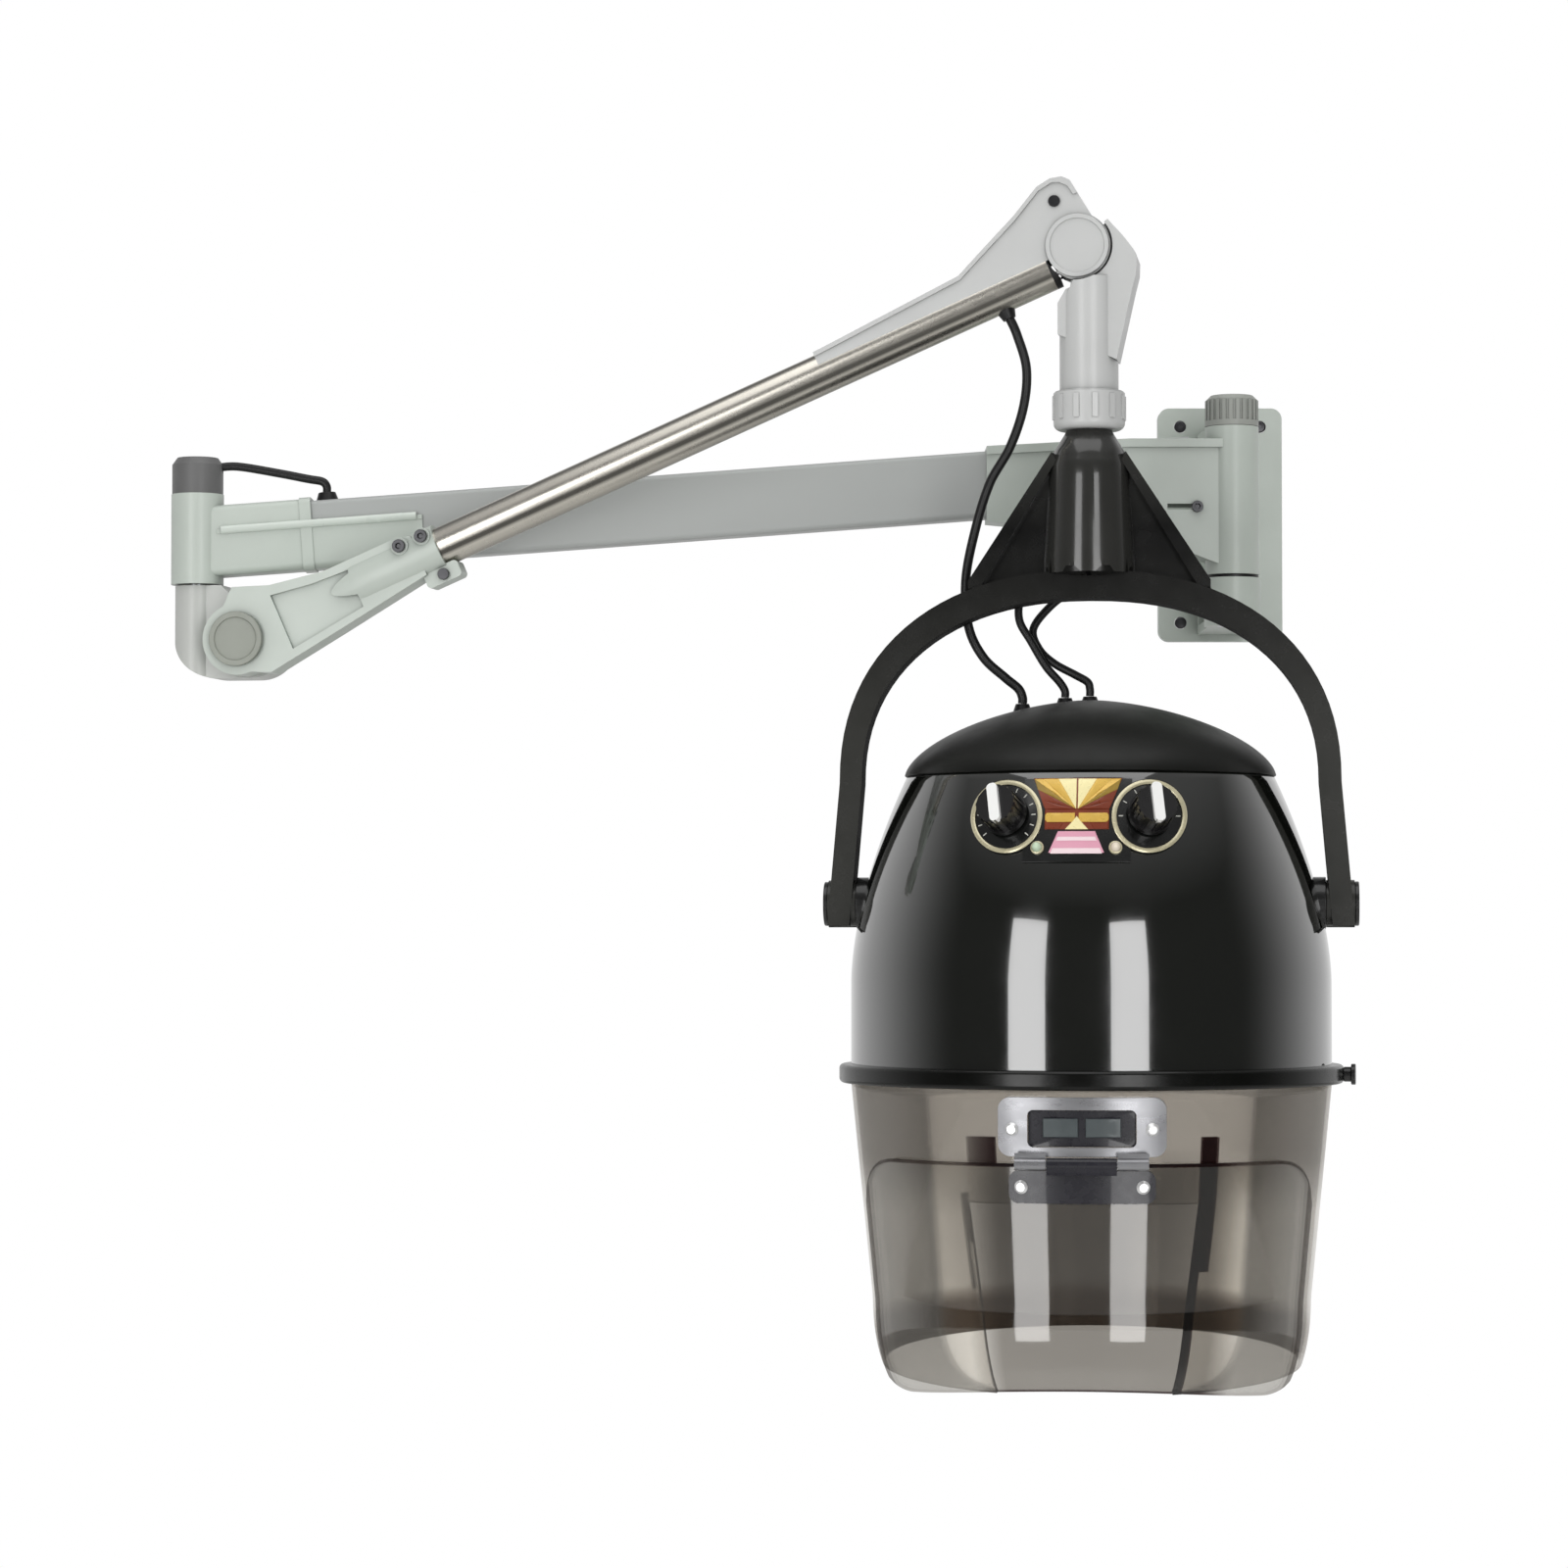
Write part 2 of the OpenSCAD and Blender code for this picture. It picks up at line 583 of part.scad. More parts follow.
// Outline of the fork round the head pivot, with its long foot lying on the tube
fork_top = [[-194, 10.5], [-180, 11], [-82, 15.6], [-59, 25.4], [-32, 36.5], [-9, 48.3], [1.6, 49.7],
    [9.5, 47.5], [13.5, 43]];
fork_rim = 3;
module fork_side() {
    polygon(concat([[-194, 0]], fork_top, [[17, 16], [fork_r - 4, 0], [0, 4 - fork_r], [-28, -9]]));
    circle(fork_r);
}
module upper_fork() color([0.86, 0.86, 0.85]) {
    slot = tongue_t / 2 + fork_gap;
    difference() {
        at_fore() translate([fore_len, 0, 0]) {
            slab(-fork_half, fork_half) fork_side();
            // raised rim along the top edge
            slab(-fork_half - 1.5, fork_half + 1.5) polygon(concat(fork_top, [[14.7, 33], [11.7, 33]],
                reversed([for (p = fork_top) [p[0] - (p[0] > 5 ? fork_rim : 0), p[1] - fork_rim]])));
        }
        // the tube lies in the fork's foot
        at_tube() rod_x(fore_tube_r, 200, tube_len + 3);
        at_tube() translate([200, -40, -40]) cube([tube_len - 200, 80, 40]);
        // slot for the head's tongue
        at_fore() translate([fore_len, 0, 0]) {
            rod_y(ring_cut_r + 1, -slot, slot);
            translate([-20, 0, -40]) slab(-slot, slot) square([60, 45]);
            slab(-slot, slot) polygon([[-2, 0], [-2, 60], [60, 60], [60, 0]]);
            rod_y(bolt_r, -40, 40);
            translate([-2, 0, 34.4]) rod_y(2.5, -40, 40);
        }
    }
}
module lift_bolt() color([0.6, 0.62, 0.59]) at_lift() {
    front = -boss_t / 2;
    back = fore_off + knuckle_back;
    rod_y(bolt_r - run_fit, front - 1, back + 1);
    // round pivot cap in front, with its dished face
    difference() {
        rod_y(19, front - 5, front - gap);
        rod_y(15, front - 6, front - 4);
    }
    // cover plate of the spring chamber, and the hexagon nut behind it
    rod_y(20, back + gap, back + 2);
    translate([0, back + 9, 0]) rotate([90, 0, 0]) cylinder(r = 11, h = 8, $fn = 6);
}
module head_bolt() color([0.84, 0.84, 0.83]) at_head() {
    rod_y(bolt_r - run_fit, -fork_half - 1, fork_half + 1);
    // dished cap on both sides
    for (s = [-1, 1]) difference() {
        rod_y(fork_r - 1, min(s * fork_half, s * (fork_half + 3)), max(s * fork_half, s * (fork_half + 3)));
        rod_y(fork_r - 4, s * (fork_half + 3) - 1, s * (fork_half + 3) + 1);
    }
}
module spacer_rivet() color([0.55, 0.55, 0.55]) at_fore() translate([fore_len - 2, 0, 34.4]) {
    rod_y(2.5, -fork_half, fork_half);
    for (s = [-1, 1]) translate([0, s * (fork_half + 0.75), 0]) rod_y(4, -0.75, 0.75);
}
module socket_screws() color([0.25, 0.25, 0.26]) at_tube() {
    face = fore_tube_r + 3.2;
    for (x = screw_at) translate([x, 0, 10]) difference() {
        rod_y(4.5, -face - 3, -face);
        rotate([90, 0, 0]) translate([0, 0, face + 1.2]) cylinder(r = 2, h = 4, $fn = 6);
    }
    // the lug's screw
    translate([33, 0, -19.5]) rod_y(4, -12, -9);
}
module cord_grommet() color([0.07, 0.07, 0.07]) at_tube() translate([grommet_s, 0, 0]) {
    lip = 5;
    difference() {
        union() {
            difference() {
                translate([0, 0, -fore_tube_r - lip]) cylinder(r1 = 4.5, r2 = 7, h = lip + 3);
                rod_x(fore_tube_r, -20, 20);
            }
            translate([0, 0, -fore_tube_r - 1]) cylinder(r = grommet_r, h = fore_tube_wall + 2);
        }
        rod_x(fore_tube_r - fore_tube_wall - 1, -20, 20);
        translate([0, 0, -fore_tube_r - lip - 1]) cylinder(r = 2.5, h = 30);
    }
}
module level_link() color([0.7, 0.7, 0.72]) at_lift() {
    eye = link_eye_r;
    bore = link_pin_r + run_fit;
    far = [fore_len * cos(fore_rise), fore_len * sin(fore_rise) - link_drop];
    difference() {
        union() {
            translate([0, 0, -link_drop]) rotate([0, -fore_rise, 0]) rod_x(link_r, 3, fore_len - 3);
            translate([0, 0, -link_drop]) rod_y(eye, -link_t / 2, link_t / 2);
            translate([far[0], 0, far[1]]) rod_y(eye, -link_t / 2, link_t / 2);
        }
        translate([0, 0, -link_drop]) rod_y(bore, -10, 10);
        // the open pivot keeps more clearance
        translate([far[0], 0, far[1]]) rod_y(link_pin_r + gap, -10, 10);
    }
}

// ----------------------------------------------------------------------- head
module head_side() {
    stem_l = head_x - stem_r;
    circle(tongue_r);
    // the brow round the fork, and down to the stem
    polygon([[0, 0], [20.5, 17.6], [31, 6], [37.5, -2.5], [40.3, -10], [40, -19], [37, -31], [31.7, -55],
        [head_x + stem_r, -78], [stem_l, -60], [stem_l, -39], [-8, -29.5], [-5, -28.3], [-3.3, -19]]);
}
module head_casting() color([0.85, 0.85, 0.84]) at_head() {
    difference() {
        union() {
            slab(-14, 14) head_side();
            translate([head_x, 0, -head_len + collar_h]) cylinder(r = stem_r, h = head_len - collar_h - 41);
            translate([head_x, 0, -41]) intersection() {
                cylinder(r = stem_r, h = 20);
                translate([-stem_r + 2, -40, 0]) rotate([0, 28, 0]) translate([0, 0, -30]) cube([80, 80, 80]);
            }
        }
        // the fork's cheeks turn round the tongue
        for (s = [-1, 1]) rod_y(ring_cut_r, s * 30 - 30 + s * tongue_t / 2, s * 30 + 30 + s * tongue_t / 2);
        // slot for the levelling link
        slab(-link_t / 2 - 0.5, link_t / 2 + 0.5)
            polygon([[-30, -36], [-5, -19], [7, -16], [7, -4], [-30, 12]]);
        rod_y(bolt_r + run_fit, -30, 30);
        // socket of the spindle
        translate([head_x, 0, -head_len - 1]) cylinder(r = spindle_r + bush_t, h = head_len - 44);
    }
    // pin of the levelling link
    translate([0, 0, -link_drop]) rod_y(link_pin_r, -link_t / 2 - 1, link_t / 2 + 1);
}
module head_collar() color([0.8, 0.8, 0.79]) at_head() translate([head_x, 0, -head_len]) {
    lip = 5;
    difference() {
        union() {
            rotate_extrude() {
                translate([collar_r - lip, lip]) circle(lip);
                square([collar_r - lip, collar_h]);
                translate([0, lip]) square([collar_r, collar_h - lip - 1]);
                square([collar_r - lip, lip]);
                translate([0, collar_h - 1]) square([collar_r - 1, 1]);
            }
            // grip ribs
            for (k = [0 : 11]) rotate([0, 0, 30 * k + 15]) translate([collar_r - 1, -2, 7])
                cube([1.8, 4, collar_h - 10]);
        }
        translate([0, 0, -1]) cylinder(r = spindle_r + bush_t, h = collar_h + 2);
    }
}
module head_bushes() color([0.85, 0.8, 0.6]) at_head() translate([head_x, 0, -head_len]) {
    tube(spindle_r + bush_t, spindle_r + run_fit, 0, 22);
    tube(spindle_r + bush_t, spindle_r + run_fit, 46, 68);
}

// ----------------------------------------------------------------------- yoke
module hoop_profile() {
    crown_t = hoop_t + 4;
    outer = concat([[foot_half, -hoop_end_drop + crown_drop]], [[leg_half, -hoop_b - hoop_leg]],
        [for (p = squircle(hoop_a, hoop_b, 2.25, 0, 180, 48)) p - [0, hoop_b]],
        [[-leg_half, -hoop_b - hoop_leg]], [[-foot_half, -hoop_end_drop + crown_drop]]);
    inner = concat([[foot_half - hoop_t, -hoop_end_drop + crown_drop]],
        [[leg_half - hoop_t, -hoop_b - hoop_leg]],
        [for (p = squircle(hoop_a - hoop_t, hoop_b - crown_t, 2.25, 0, 180, 48)) p - [0, hoop_b]],
        [[-leg_half + hoop_t, -hoop_b - hoop_leg]], [[-foot_half + hoop_t, -hoop_end_drop + crown_drop]]);
    difference() {
        polygon(outer);
        polygon(concat([[foot_half - hoop_t, -hoop_end_drop + crown_drop - 5]], inner,
            [[-foot_half + hoop_t, -hoop_end_drop + crown_drop - 5]]));
    }
}
module yoke_hoop() color([0.16, 0.17, 0.17]) at_yoke() {
    foot_z = -tilt_drop;
    difference() {
        union() {
            translate([0, 0, -crown_drop]) slab(-hoop_d / 2, hoop_d / 2) hoop_profile();
            // tapered boss with four ribs, and flat webs to the hoop
            rotate_extrude() polygon([[0, -crown_drop - 6], [31, -crown_drop - 2], [31, -crown_drop + 8],
                [27, -24], [24, -14], [16.6, -2], [15.6, 0], [0, 0]]);
            for (a = [-70, -23, 23, 70]) rotate([0, 0, a]) translate([0, -29, -crown_drop]) rotate([0, 0, 90])
                slab(-3, 3) polygon([[-2, 2], [3, 72], [9, 72], [9, 0]]);
            slab(-web_t / 2, web_t / 2) polygon([[-web_half, -crown_drop - 14], [-web_half, -crown_drop - 8],
                [-25, -web_top], [25, -web_top], [web_half, -crown_drop - 8], [web_half, -crown_drop - 14],
                [40, -crown_drop - 6], [-40, -crown_drop - 6]]);
            // flanges along the webs' sloping edges
            for (s = [-1, 1]) slab(-hoop_d / 2 + 3, hoop_d / 2 - 3) polygon([
                [s * web_half, -crown_drop - 12], [s * web_half, -crown_drop - 7], [s * 25, -web_top],
                [s * 22, -web_top - 6], [s * (web_half - 8), -crown_drop - 12]]);
            // pads for the side pivots
            for (s = [-1, 1]) scale([s, 1, 1]) translate([0, 0, foot_z])
                rod_x(pivot_r - 2, leg_half - hoop_t, foot_half);
        }
        translate([0, 0, -spindle_deep]) cylinder(r = spindle_r, h = spindle_deep + 10);
        // the inner leads leave at the back of the boss
        translate([0, 0, -lead_hole_z]) cylinder(r = lead_hole_r, h = lead_hole_z);
        translate([0, 0, -lead_hole_z]) rod_y(lead_hole_r, 0, 60);
        translate([0, 0, foot_z]) rod_x(pivot_pin_r + run_fit, -foot_half - 20, foot_half + 20);
    }
}
module yoke_spindle() color([0.7, 0.7, 0.72]) at_yoke() {
    tube(spindle_r - run_fit, 6, -spindle_deep, 72);
}
module yoke_end_caps() color([0.1, 0.1, 0.1]) at_yoke() {
    for (s = [-1, 1]) translate([0, 0, -tilt_drop]) difference() {
        rod_x(pivot_r - 3, min(s * foot_half, s * (foot_half + 3)), max(s * foot_half, s * (foot_half + 3)));
        rod_x(2, -foot_half - 5, foot_half + 5);
    }
}

// ----------------------------------------------------------------------- hood
module cap_dome(inset) {
    rotate_extrude() polygon(concat([[0, cap_z - 1]], [[cap_r - inset, cap_z - 1]],
        [for (p = squircle(cap_r - inset, cap_h - inset, cap_bend, 0, 90, 24)) [p[0], p[1] + cap_z]]));
}
module hood_cap() color([0.25, 0.26, 0.25]) at_hood() {
    difference() {
        union() {
            intersection() {
                cap_dome(0);
                translate([0, 0, cap_z]) cylinder(r = cap_r + 1, h = cap_h + 1);
            }
            // spigot inside the shell's neck, and the ring that carries it
            tube(shoulder_r - skin - 0.1, shoulder_r - 2 * skin, cap_z - 5, cap_z + 2);
            tube(cap_r - 1, shoulder_r - 2 * skin, cap_z, cap_z + 2);
        }
        difference() {
            cap_dome(skin);
            tube(cap_r - 1, shoulder_r - 2 * skin, cap_z - 5, cap_z + 2);
        }
        for (p = gland_at) translate([p[0], p[1], cap_z]) cylinder(r = gland_hole_r, h = cap_h + 5);
    }
}
module hood_shell() color([0.13, 0.14, 0.13]) at_hood() {
    n = 20;
    difference() {
        rotate_extrude() polygon(concat(shell_line(0, n), [[hood_r, rim_z], [hood_r - skin, rim_z]],
            reversed(shell_line(skin, n))));
        // seats of the side pivots, and of the knob spindles
        rod_x(pivot_r + run_fit, -flange_r, flange_r);
        for (a = knob_angles) on_shell(a, knob_z) rod_y(5, -20, 30);
    }
}
module hood_flange() color([0.2, 0.21, 0.2]) at_hood() difference() {
    rotate_extrude() {
        translate([hood_r - 12, flange_z0]) square([flange_r - hood_r + 9, flange_h]);
        translate([flange_r - 3, flange_z0 + 3]) square([3, flange_h - 6]);
        translate([flange_r - 3, flange_z0 + 3]) circle(3);
        translate([flange_r - 3, flange_z0 + flange_h - 3]) circle(3);
    }
    // screw holes up into the shell
    for (k = [0 : 5]) rotate([0, 0, 60 * k + 30]) translate([hood_r - 7, 0, flange_z0 - 1])
        cylinder(r = 2, h = flange_h / 2);
}
module skirt() color([0.5, 0.48, 0.45, 0.6]) at_hood() {
    n = 16;
    difference() {
        rotate_extrude() polygon(concat(skirt_line(0, flange_z0, skirt_z0 - 6, n),
            reversed(skirt_line(-clear_t, flange_z0, skirt_z0 - 6, n))));
        // the rim falls from the back to the front
        translate([0, 0, skirt_z0]) rotate([atan(rim_fall / (2 * (hood_r - 34))), 0, 0])
            translate([-beyond, -beyond, -60]) cube([2 * beyond, 2 * beyond, 60 + rim_fall / 2 - 2]);
        // face window behind the visor
        window_z1 = visor_top - 26;
        rotate([0, 0, -90]) translate([0, 0, skirt_z0 - 30]) linear_extrude(window_z1 - skirt_z0 + 30)
            polygon([[0, 0], [beyond * cos(window_a), beyond * sin(window_a)],
                [beyond * cos(window_a), -beyond * sin(window_a)]]);
    }
}
// Spots of the small round vents on the bowl: one ring in each row
vent_rows = [[0, 1], [30, 6], [60, 12], [90, 18]];
module inner_bowl() color([0.75, 0.76, 0.76]) at_hood() {
    br = hood_r - 20;
    bh = bowl_z1 - rim_z - 4;
    n = 14;
    difference() {
        rotate_extrude() polygon(concat(
            [[hood_r - skin - 0.4, rim_z], [hood_r - skin - 0.4, rim_z + 2], [br, rim_z + 4]],
            [for (p = squircle(br, bh, 2.2, 6, 90, n)) [p[0], p[1] + rim_z + 4]],
            reversed([for (p = squircle(br - 2, bh - 2, 2.2, 4, 90, n)) [p[0], p[1] + rim_z + 4]]),
            [[br - 2, rim_z]]));
        for (row = vent_rows, k = [0 : row[1] - 1]) rotate([0, 0, 360 * k / row[1]])
            translate([row[0], 0, rim_z + 10]) cylinder(r = 5, h = bh + 10);
    }
}
module motor() color([0.5, 0.5, 0.52]) at_hood() {
    difference() {
        union() {
            translate([0, 0, motor_z]) cylinder(r = 36, h = 46);
            translate([0, 0, motor_z + 46]) cylinder(r1 = 33, r2 = 26, h = 8);
            translate([0, 0, motor_z - 4]) cylinder(r = 12, h = 5);
            translate([0, 0, fan_z + 2]) cylinder(r = 4, h = motor_z - fan_z);
        }
        for (k = [0 : 11]) rotate([0, 0, 30 * k]) translate([34, -3, motor_z + 8]) cube([5, 6, 30]);
    }
}
module motor_plate() color([0.62, 0.62, 0.6]) at_hood() {
    z1 = motor_z;
    z0 = z1 - 3;
    seat_r = shell_at(z1) - skin - gap;
    difference() {
        translate([0, 0, z0]) cylinder(r = seat_r, h = z1 - z0);
        translate([0, 0, z0 - 1]) cylinder(r = 12.5, h = 6);
        for (k = [0 : 5]) rotate([0, 0, 60 * k]) translate([85, 0, z0 - 1]) cylinder(r = 24, h = 6);
    }
}
module heater() color([0.7, 0.45, 0.3]) at_hood() {
    top = motor_z - 3;
    for (r = [92, 108]) translate([0, 0, -6]) rotate_extrude() translate([r, 0]) circle(3);
    for (k = [0 : 3]) rotate([0, 0, 90 * k + 30]) {
        translate([91, -4, -8]) cube([18, 8, 4]);
        translate([97, -4, -8]) cube([6, 8, top + 8]);
    }
}
module fan() color([0.85, 0.85, 0.83]) at_hood() translate([0, 0, fan_z]) {
    hub = 15;
    tip = 62;
    difference() {
        union() {
            cylinder(r = hub, h = 18);
            translate([0, 0, -2]) cylinder(r = tip, h = 3);
            for (k = [0 : 11]) rotate([0, 0, 30 * k + 9]) translate([hub - 2, 0, 0]) rotate([0, 0, 18])
                translate([0, -1.2, 0]) cube([tip - hub - 2, 2.4, 17]);
        }
        cylinder(r = 4 + run_fit, h = 30);
    }
}

// Control panel: two knobs each side of a trim plate, on the shell's front
knob_z = cap_z - 30;
knob_angles = [-21, 18];
panel_a = -1.5;
// distance of each dial's ring from the middle of the panel
ring_x = 46.5;
ring_r = 24;
// A frame on the shell at an angle and a height, with -Y along the outward normal
module on_shell(a, z) {
    lean = atan((hood_r - shoulder_r) * swell / (cap_z - belly_z)
        * pow((z - belly_z) / (cap_z - belly_z), swell - 1));
    rotate([0, 0, a]) translate([0, -shell_at(z), z]) rotate([-lean, 0, 0]) children();
}
module panel_band(grow, t) {
    // a skin that follows the shell between two heights and two angles
    n = 6;
    z0 = knob_z - 30;
    z1 = knob_z + 28;
    rotate_extrude() polygon(concat(
        [for (i = [0 : n]) let (z = z1 + (z0 - z1) * i / n) [shell_at(z) + grow + t, z]],
        [for (i = [n : -1 : 0]) let (z = z1 + (z0 - z1) * i / n) [shell_at(z) + grow, z]]));
}
module control_panel() color([0.08, 0.08, 0.08]) at_hood() {
    difference() {
        intersection() {
            panel_band(0.2, 1.6);
            rotate([0, 0, panel_a]) slab(-200, -60) {
                for (s = [-1, 1]) translate([s * ring_x, knob_z]) circle(ring_r + 0.5);
                translate([0, knob_z - 2.75]) square([2 * ring_x - 23, 54.5], center = true);
            }
        }
        for (a = knob_angles) on_shell(a, knob_z) rod_y(4.4, -20, 30);
    }
}
module trim_plate() color([0.83, 0.65, 0.22]) at_hood() intersection() {
    panel_band(1.8 + eps, 1.2);
    rotate([0, 0, panel_a]) slab(-200, -60) difference() {
        union() {
            polygon([[-29, knob_z + 25], [29, knob_z + 25], [21, knob_z + 5], [21, knob_z - 9],
                [-21, knob_z - 9], [-21, knob_z + 5]]);
            for (s = [-1, 1]) translate([s * ring_x, knob_z]) difference() {
                circle(ring_r);
                circle(ring_r - 3);
            }
        }
        translate([0, knob_z + 3]) square([50, 1.6], center = true);
    }
}
module label_plate() color([0.9, 0.62, 0.66]) at_hood() intersection() {
    panel_band(1.8 + eps, 1.2);
    rotate([0, 0, panel_a]) slab(-200, -60)
        polygon([[-12, knob_z - 10], [12, knob_z - 10], [18, knob_z - 24], [-18, knob_z - 24]]);
}
lamp_a = 9.9;
lamp_drop = 21.5;
module lamps() color([0.9, 0.3, 0.2]) at_hood() {
    for (s = [-1, 1]) on_shell(panel_a + s * lamp_a, knob_z - lamp_drop) {
        rod_y(4, -5, -2.6);
        translate([0, -5.6, 0]) sphere(r = 3.4);
    }
}
// height of a knob's ribbed body above the shell
knob_h = 22;
module dial(turned) {
    // knob with a ribbed skirt, a flat top and a raised pointer bar
    rod_y(4, -4, 14);
    rod_y(knob_r, -7, -3.4);
    rod_y(knob_r - 2, -knob_h, -6);
    for (k = [0 : 15]) rotate([0, 22.5 * k, 0]) translate([knob_r - 2.6, 1 - knob_h, -1])
        cube([1.4, knob_h - 7, 2]);
    rotate([0, turned, 0]) slab(-knob_h - 3, 3 - knob_h) rounded(7, 2 * knob_r - 3, 3);
}
module timer_knob() color([0.15, 0.15, 0.15]) at_hood() on_shell(knob_angles[0], knob_z) dial(-15);
module heat_knob() color([0.15, 0.15, 0.15]) at_hood() on_shell(knob_angles[1], knob_z) dial(0);

// Rubber glands where the leads enter the cap
gland_at = [[-47, 25], [-18, 30], [-1, 30]];
gland_hole_r = 4;
gland_h = 7;
cap_r = shoulder_r + 1.5;
cap_bend = 1.65;
function cap_top(p) = cap_z + cap_h * pow(1 - pow(norm(p) / cap_r, cap_bend), 1 / cap_bend);
module cord_glands() color([0.06, 0.06, 0.06]) at_hood() difference() {
    for (p = gland_at) translate([p[0], p[1], cap_top(p)]) {
        translate([0, 0, -3]) cylinder(r1 = 8, r2 = 4.6, h = gland_h + 3);
        translate([0, 0, -skin - 1]) cylinder(r = gland_hole_r, h = skin + 2);
    }
    difference() {
        cap_dome(0);
        for (p = gland_at) translate([p[0], p[1], cap_z]) cylinder(r = gland_hole_r - run_fit, h = cap_h + 5);
    }
    for (p = gland_at) translate([p[0], p[1], cap_z]) cylinder(r = 2.6, h = cap_h + 20);
}
module side_pivots() color([0.12, 0.12, 0.12]) at_hood() {
    face = leg_half - hoop_t - gap;
    lip = 2;
    seat = shell_at(pivot_r + lip) - skin - gap;
    for (s = [-1, 1]) scale([s, 1, 1]) {
        rod_x(pivot_r + lip, seat - 4, seat);
        rod_x(pivot_r, seat - 1, face);
        rod_x(pivot_pin_r, face - 1, foot_half - 2);
    }
}

// --------------------------------------------------------------- visor hinge
// A frame on the skirt's front, raised by grow, with -Y along the outward normal
module on_skirt(x, z, grow) {
    r = skirt_at(z) + grow;
    rotate([0, 0, asin(x / r)]) translate([0, -r, z])
        rotate([atan(skirt_lean / (skirt_h - skirt_curl)), 0, 0]) children();
}
leaf_t = 6;
leaf_h = 40;
leaf_screw_x = 45;
leaf_screw_z = hinge_z + 22;
screw_r = 4.4;
module hinge_upper_leaf() color([0.45, 0.45, 0.47]) at_hood() {
    z0 = hinge_z + hinge_barrel_r + 0.5;
    h = leaf_h - 2;
    difference() {
        union() {
            // plate on the skirt
            intersection() {
                rotate_extrude($fn = 180) polygon(concat(skirt_line(0.1, flange_z0 - 0.5, z0, 4),
                    reversed(skirt_line(leaf_t, flange_z0 - 0.5, z0, 4))));
                slab(-230, -100) translate([0, z0 + h / 2]) rounded(108, h, 8);
            }
            // barrel segments
            for (s = [-1, 1]) scale([s, 1, 1]) translate([0, hinge_y, hinge_z]) {
                rod_x(hinge_barrel_r, 23, 43);
                translate([23, 0, 0]) cube([20, hinge_barrel_r, hinge_barrel_r + 3]);
            }
        }
        // window
        slab(-230, -100) translate([0, z0 + h / 2 - 1]) rounded(70, h - 14, 4);
        for (x = [-1, 1]) on_skirt(x * leaf_screw_x, leaf_screw_z, leaf_t) {
            rod_y(screw_r + 0.05, -3, 1);
            rod_y(2, 0, leaf_t + 2);
        }
    }
    // hinge pin
    translate([0, hinge_y, hinge_z]) rod_x(hinge_pin_r, -43, 43);
}
module screw_head() {
    rotate([90, 0, 0]) cylinder(r1 = screw_r, r2 = screw_r - 1.6, h = 1.6);
}
module hinge_screws() color([0.8, 0.8, 0.8]) at_hood() {
    for (x = [-1, 1]) on_skirt(x * leaf_screw_x, leaf_screw_z, leaf_t) {
        translate([0, -0.2, 0]) screw_head();
        rod_y(screw_r, -0.21, 0.9);
        rod_y(1.9, 0.8, leaf_t - 0.6);
    }
}
// The visor's side edge, from its upper corner down
visor_side = [[hood_r - 26, visor_top], [hood_r - 15, visor_top - 12], [hood_r - 11, visor_top - 40],
    [hood_r - 19, visor_top - 110]];
module visor() color([0.45, 0.42, 0.38, 0.5]) at_hood() {
    z1 = visor_top;
    intersection() {
        rotate_extrude($fn = 180) polygon(concat(skirt_line(visor_r0, z1, visor_low, 12),
            reversed(skirt_line(visor_gap, z1, visor_low, 12))));
        // the lower edge hangs lower at the sides than in front
        slab(-beyond, -8) polygon(concat(
            [for (p = visor_side) [-p[0], p[1]]],
            [for (i = [-6 : 6]) [(hood_r - 36) / 6 * i, visor_low + visor_rise * cos(15 * i)]],
            reversed(visor_side)));
        // rounded corners at the back of the lower edge
        rotate([90, 0, 90]) linear_extrude(2 * beyond, center = true) polygon([[-beyond, z1], [-8, z1],
            [-8, visor_low + 75], [-20, visor_low + 40], [-38, visor_low + 16], [-60, visor_low - 1],
            [-beyond, visor_low - 1]]);
    }
}
module hinge_lower_leaf() color([0.1, 0.1, 0.11]) at_hood() {
    h = 21;
    z1 = hinge_z - hinge_barrel_r - 0.5;
    leaf = visor_r0 + 3;
    difference() {
        union() {
            intersection() {
                rotate_extrude($fn = 180) polygon(concat(skirt_line(visor_r0 + 0.1, z1, z1 - h, 4),
                    reversed(skirt_line(leaf, z1, z1 - h, 4))));
                slab(-230, -100) translate([0, z1 - h / 2]) rounded(hinge_w + 2, h, 6);
            }
            translate([0, hinge_y, hinge_z]) rod_x(hinge_barrel_r, -22.5, 22.5);
            translate([-22.5, hinge_y - 3.5, hinge_z - 7]) cube([45, 7.3, 7]);
        }
        translate([0, hinge_y, hinge_z]) rod_x(hinge_pin_r + run_fit, -60, 60);
    }
    for (x = [-39, 39]) on_skirt(x, z1 - h / 2, leaf) {
        rod_y(screw_r, -0.5, 1);
        translate([0, -0.49, 0]) screw_head();
    }
}
module flange_latch() color([0.15, 0.15, 0.15]) at_hood() rotate([0, 0, -4]) {
    translate([flange_r, 0, flange_z0 + flange_h / 2]) {
        rod_x(5, 0, 5);
        translate([5, 0, 0]) rod_x(7, 0, 3);
    }
}

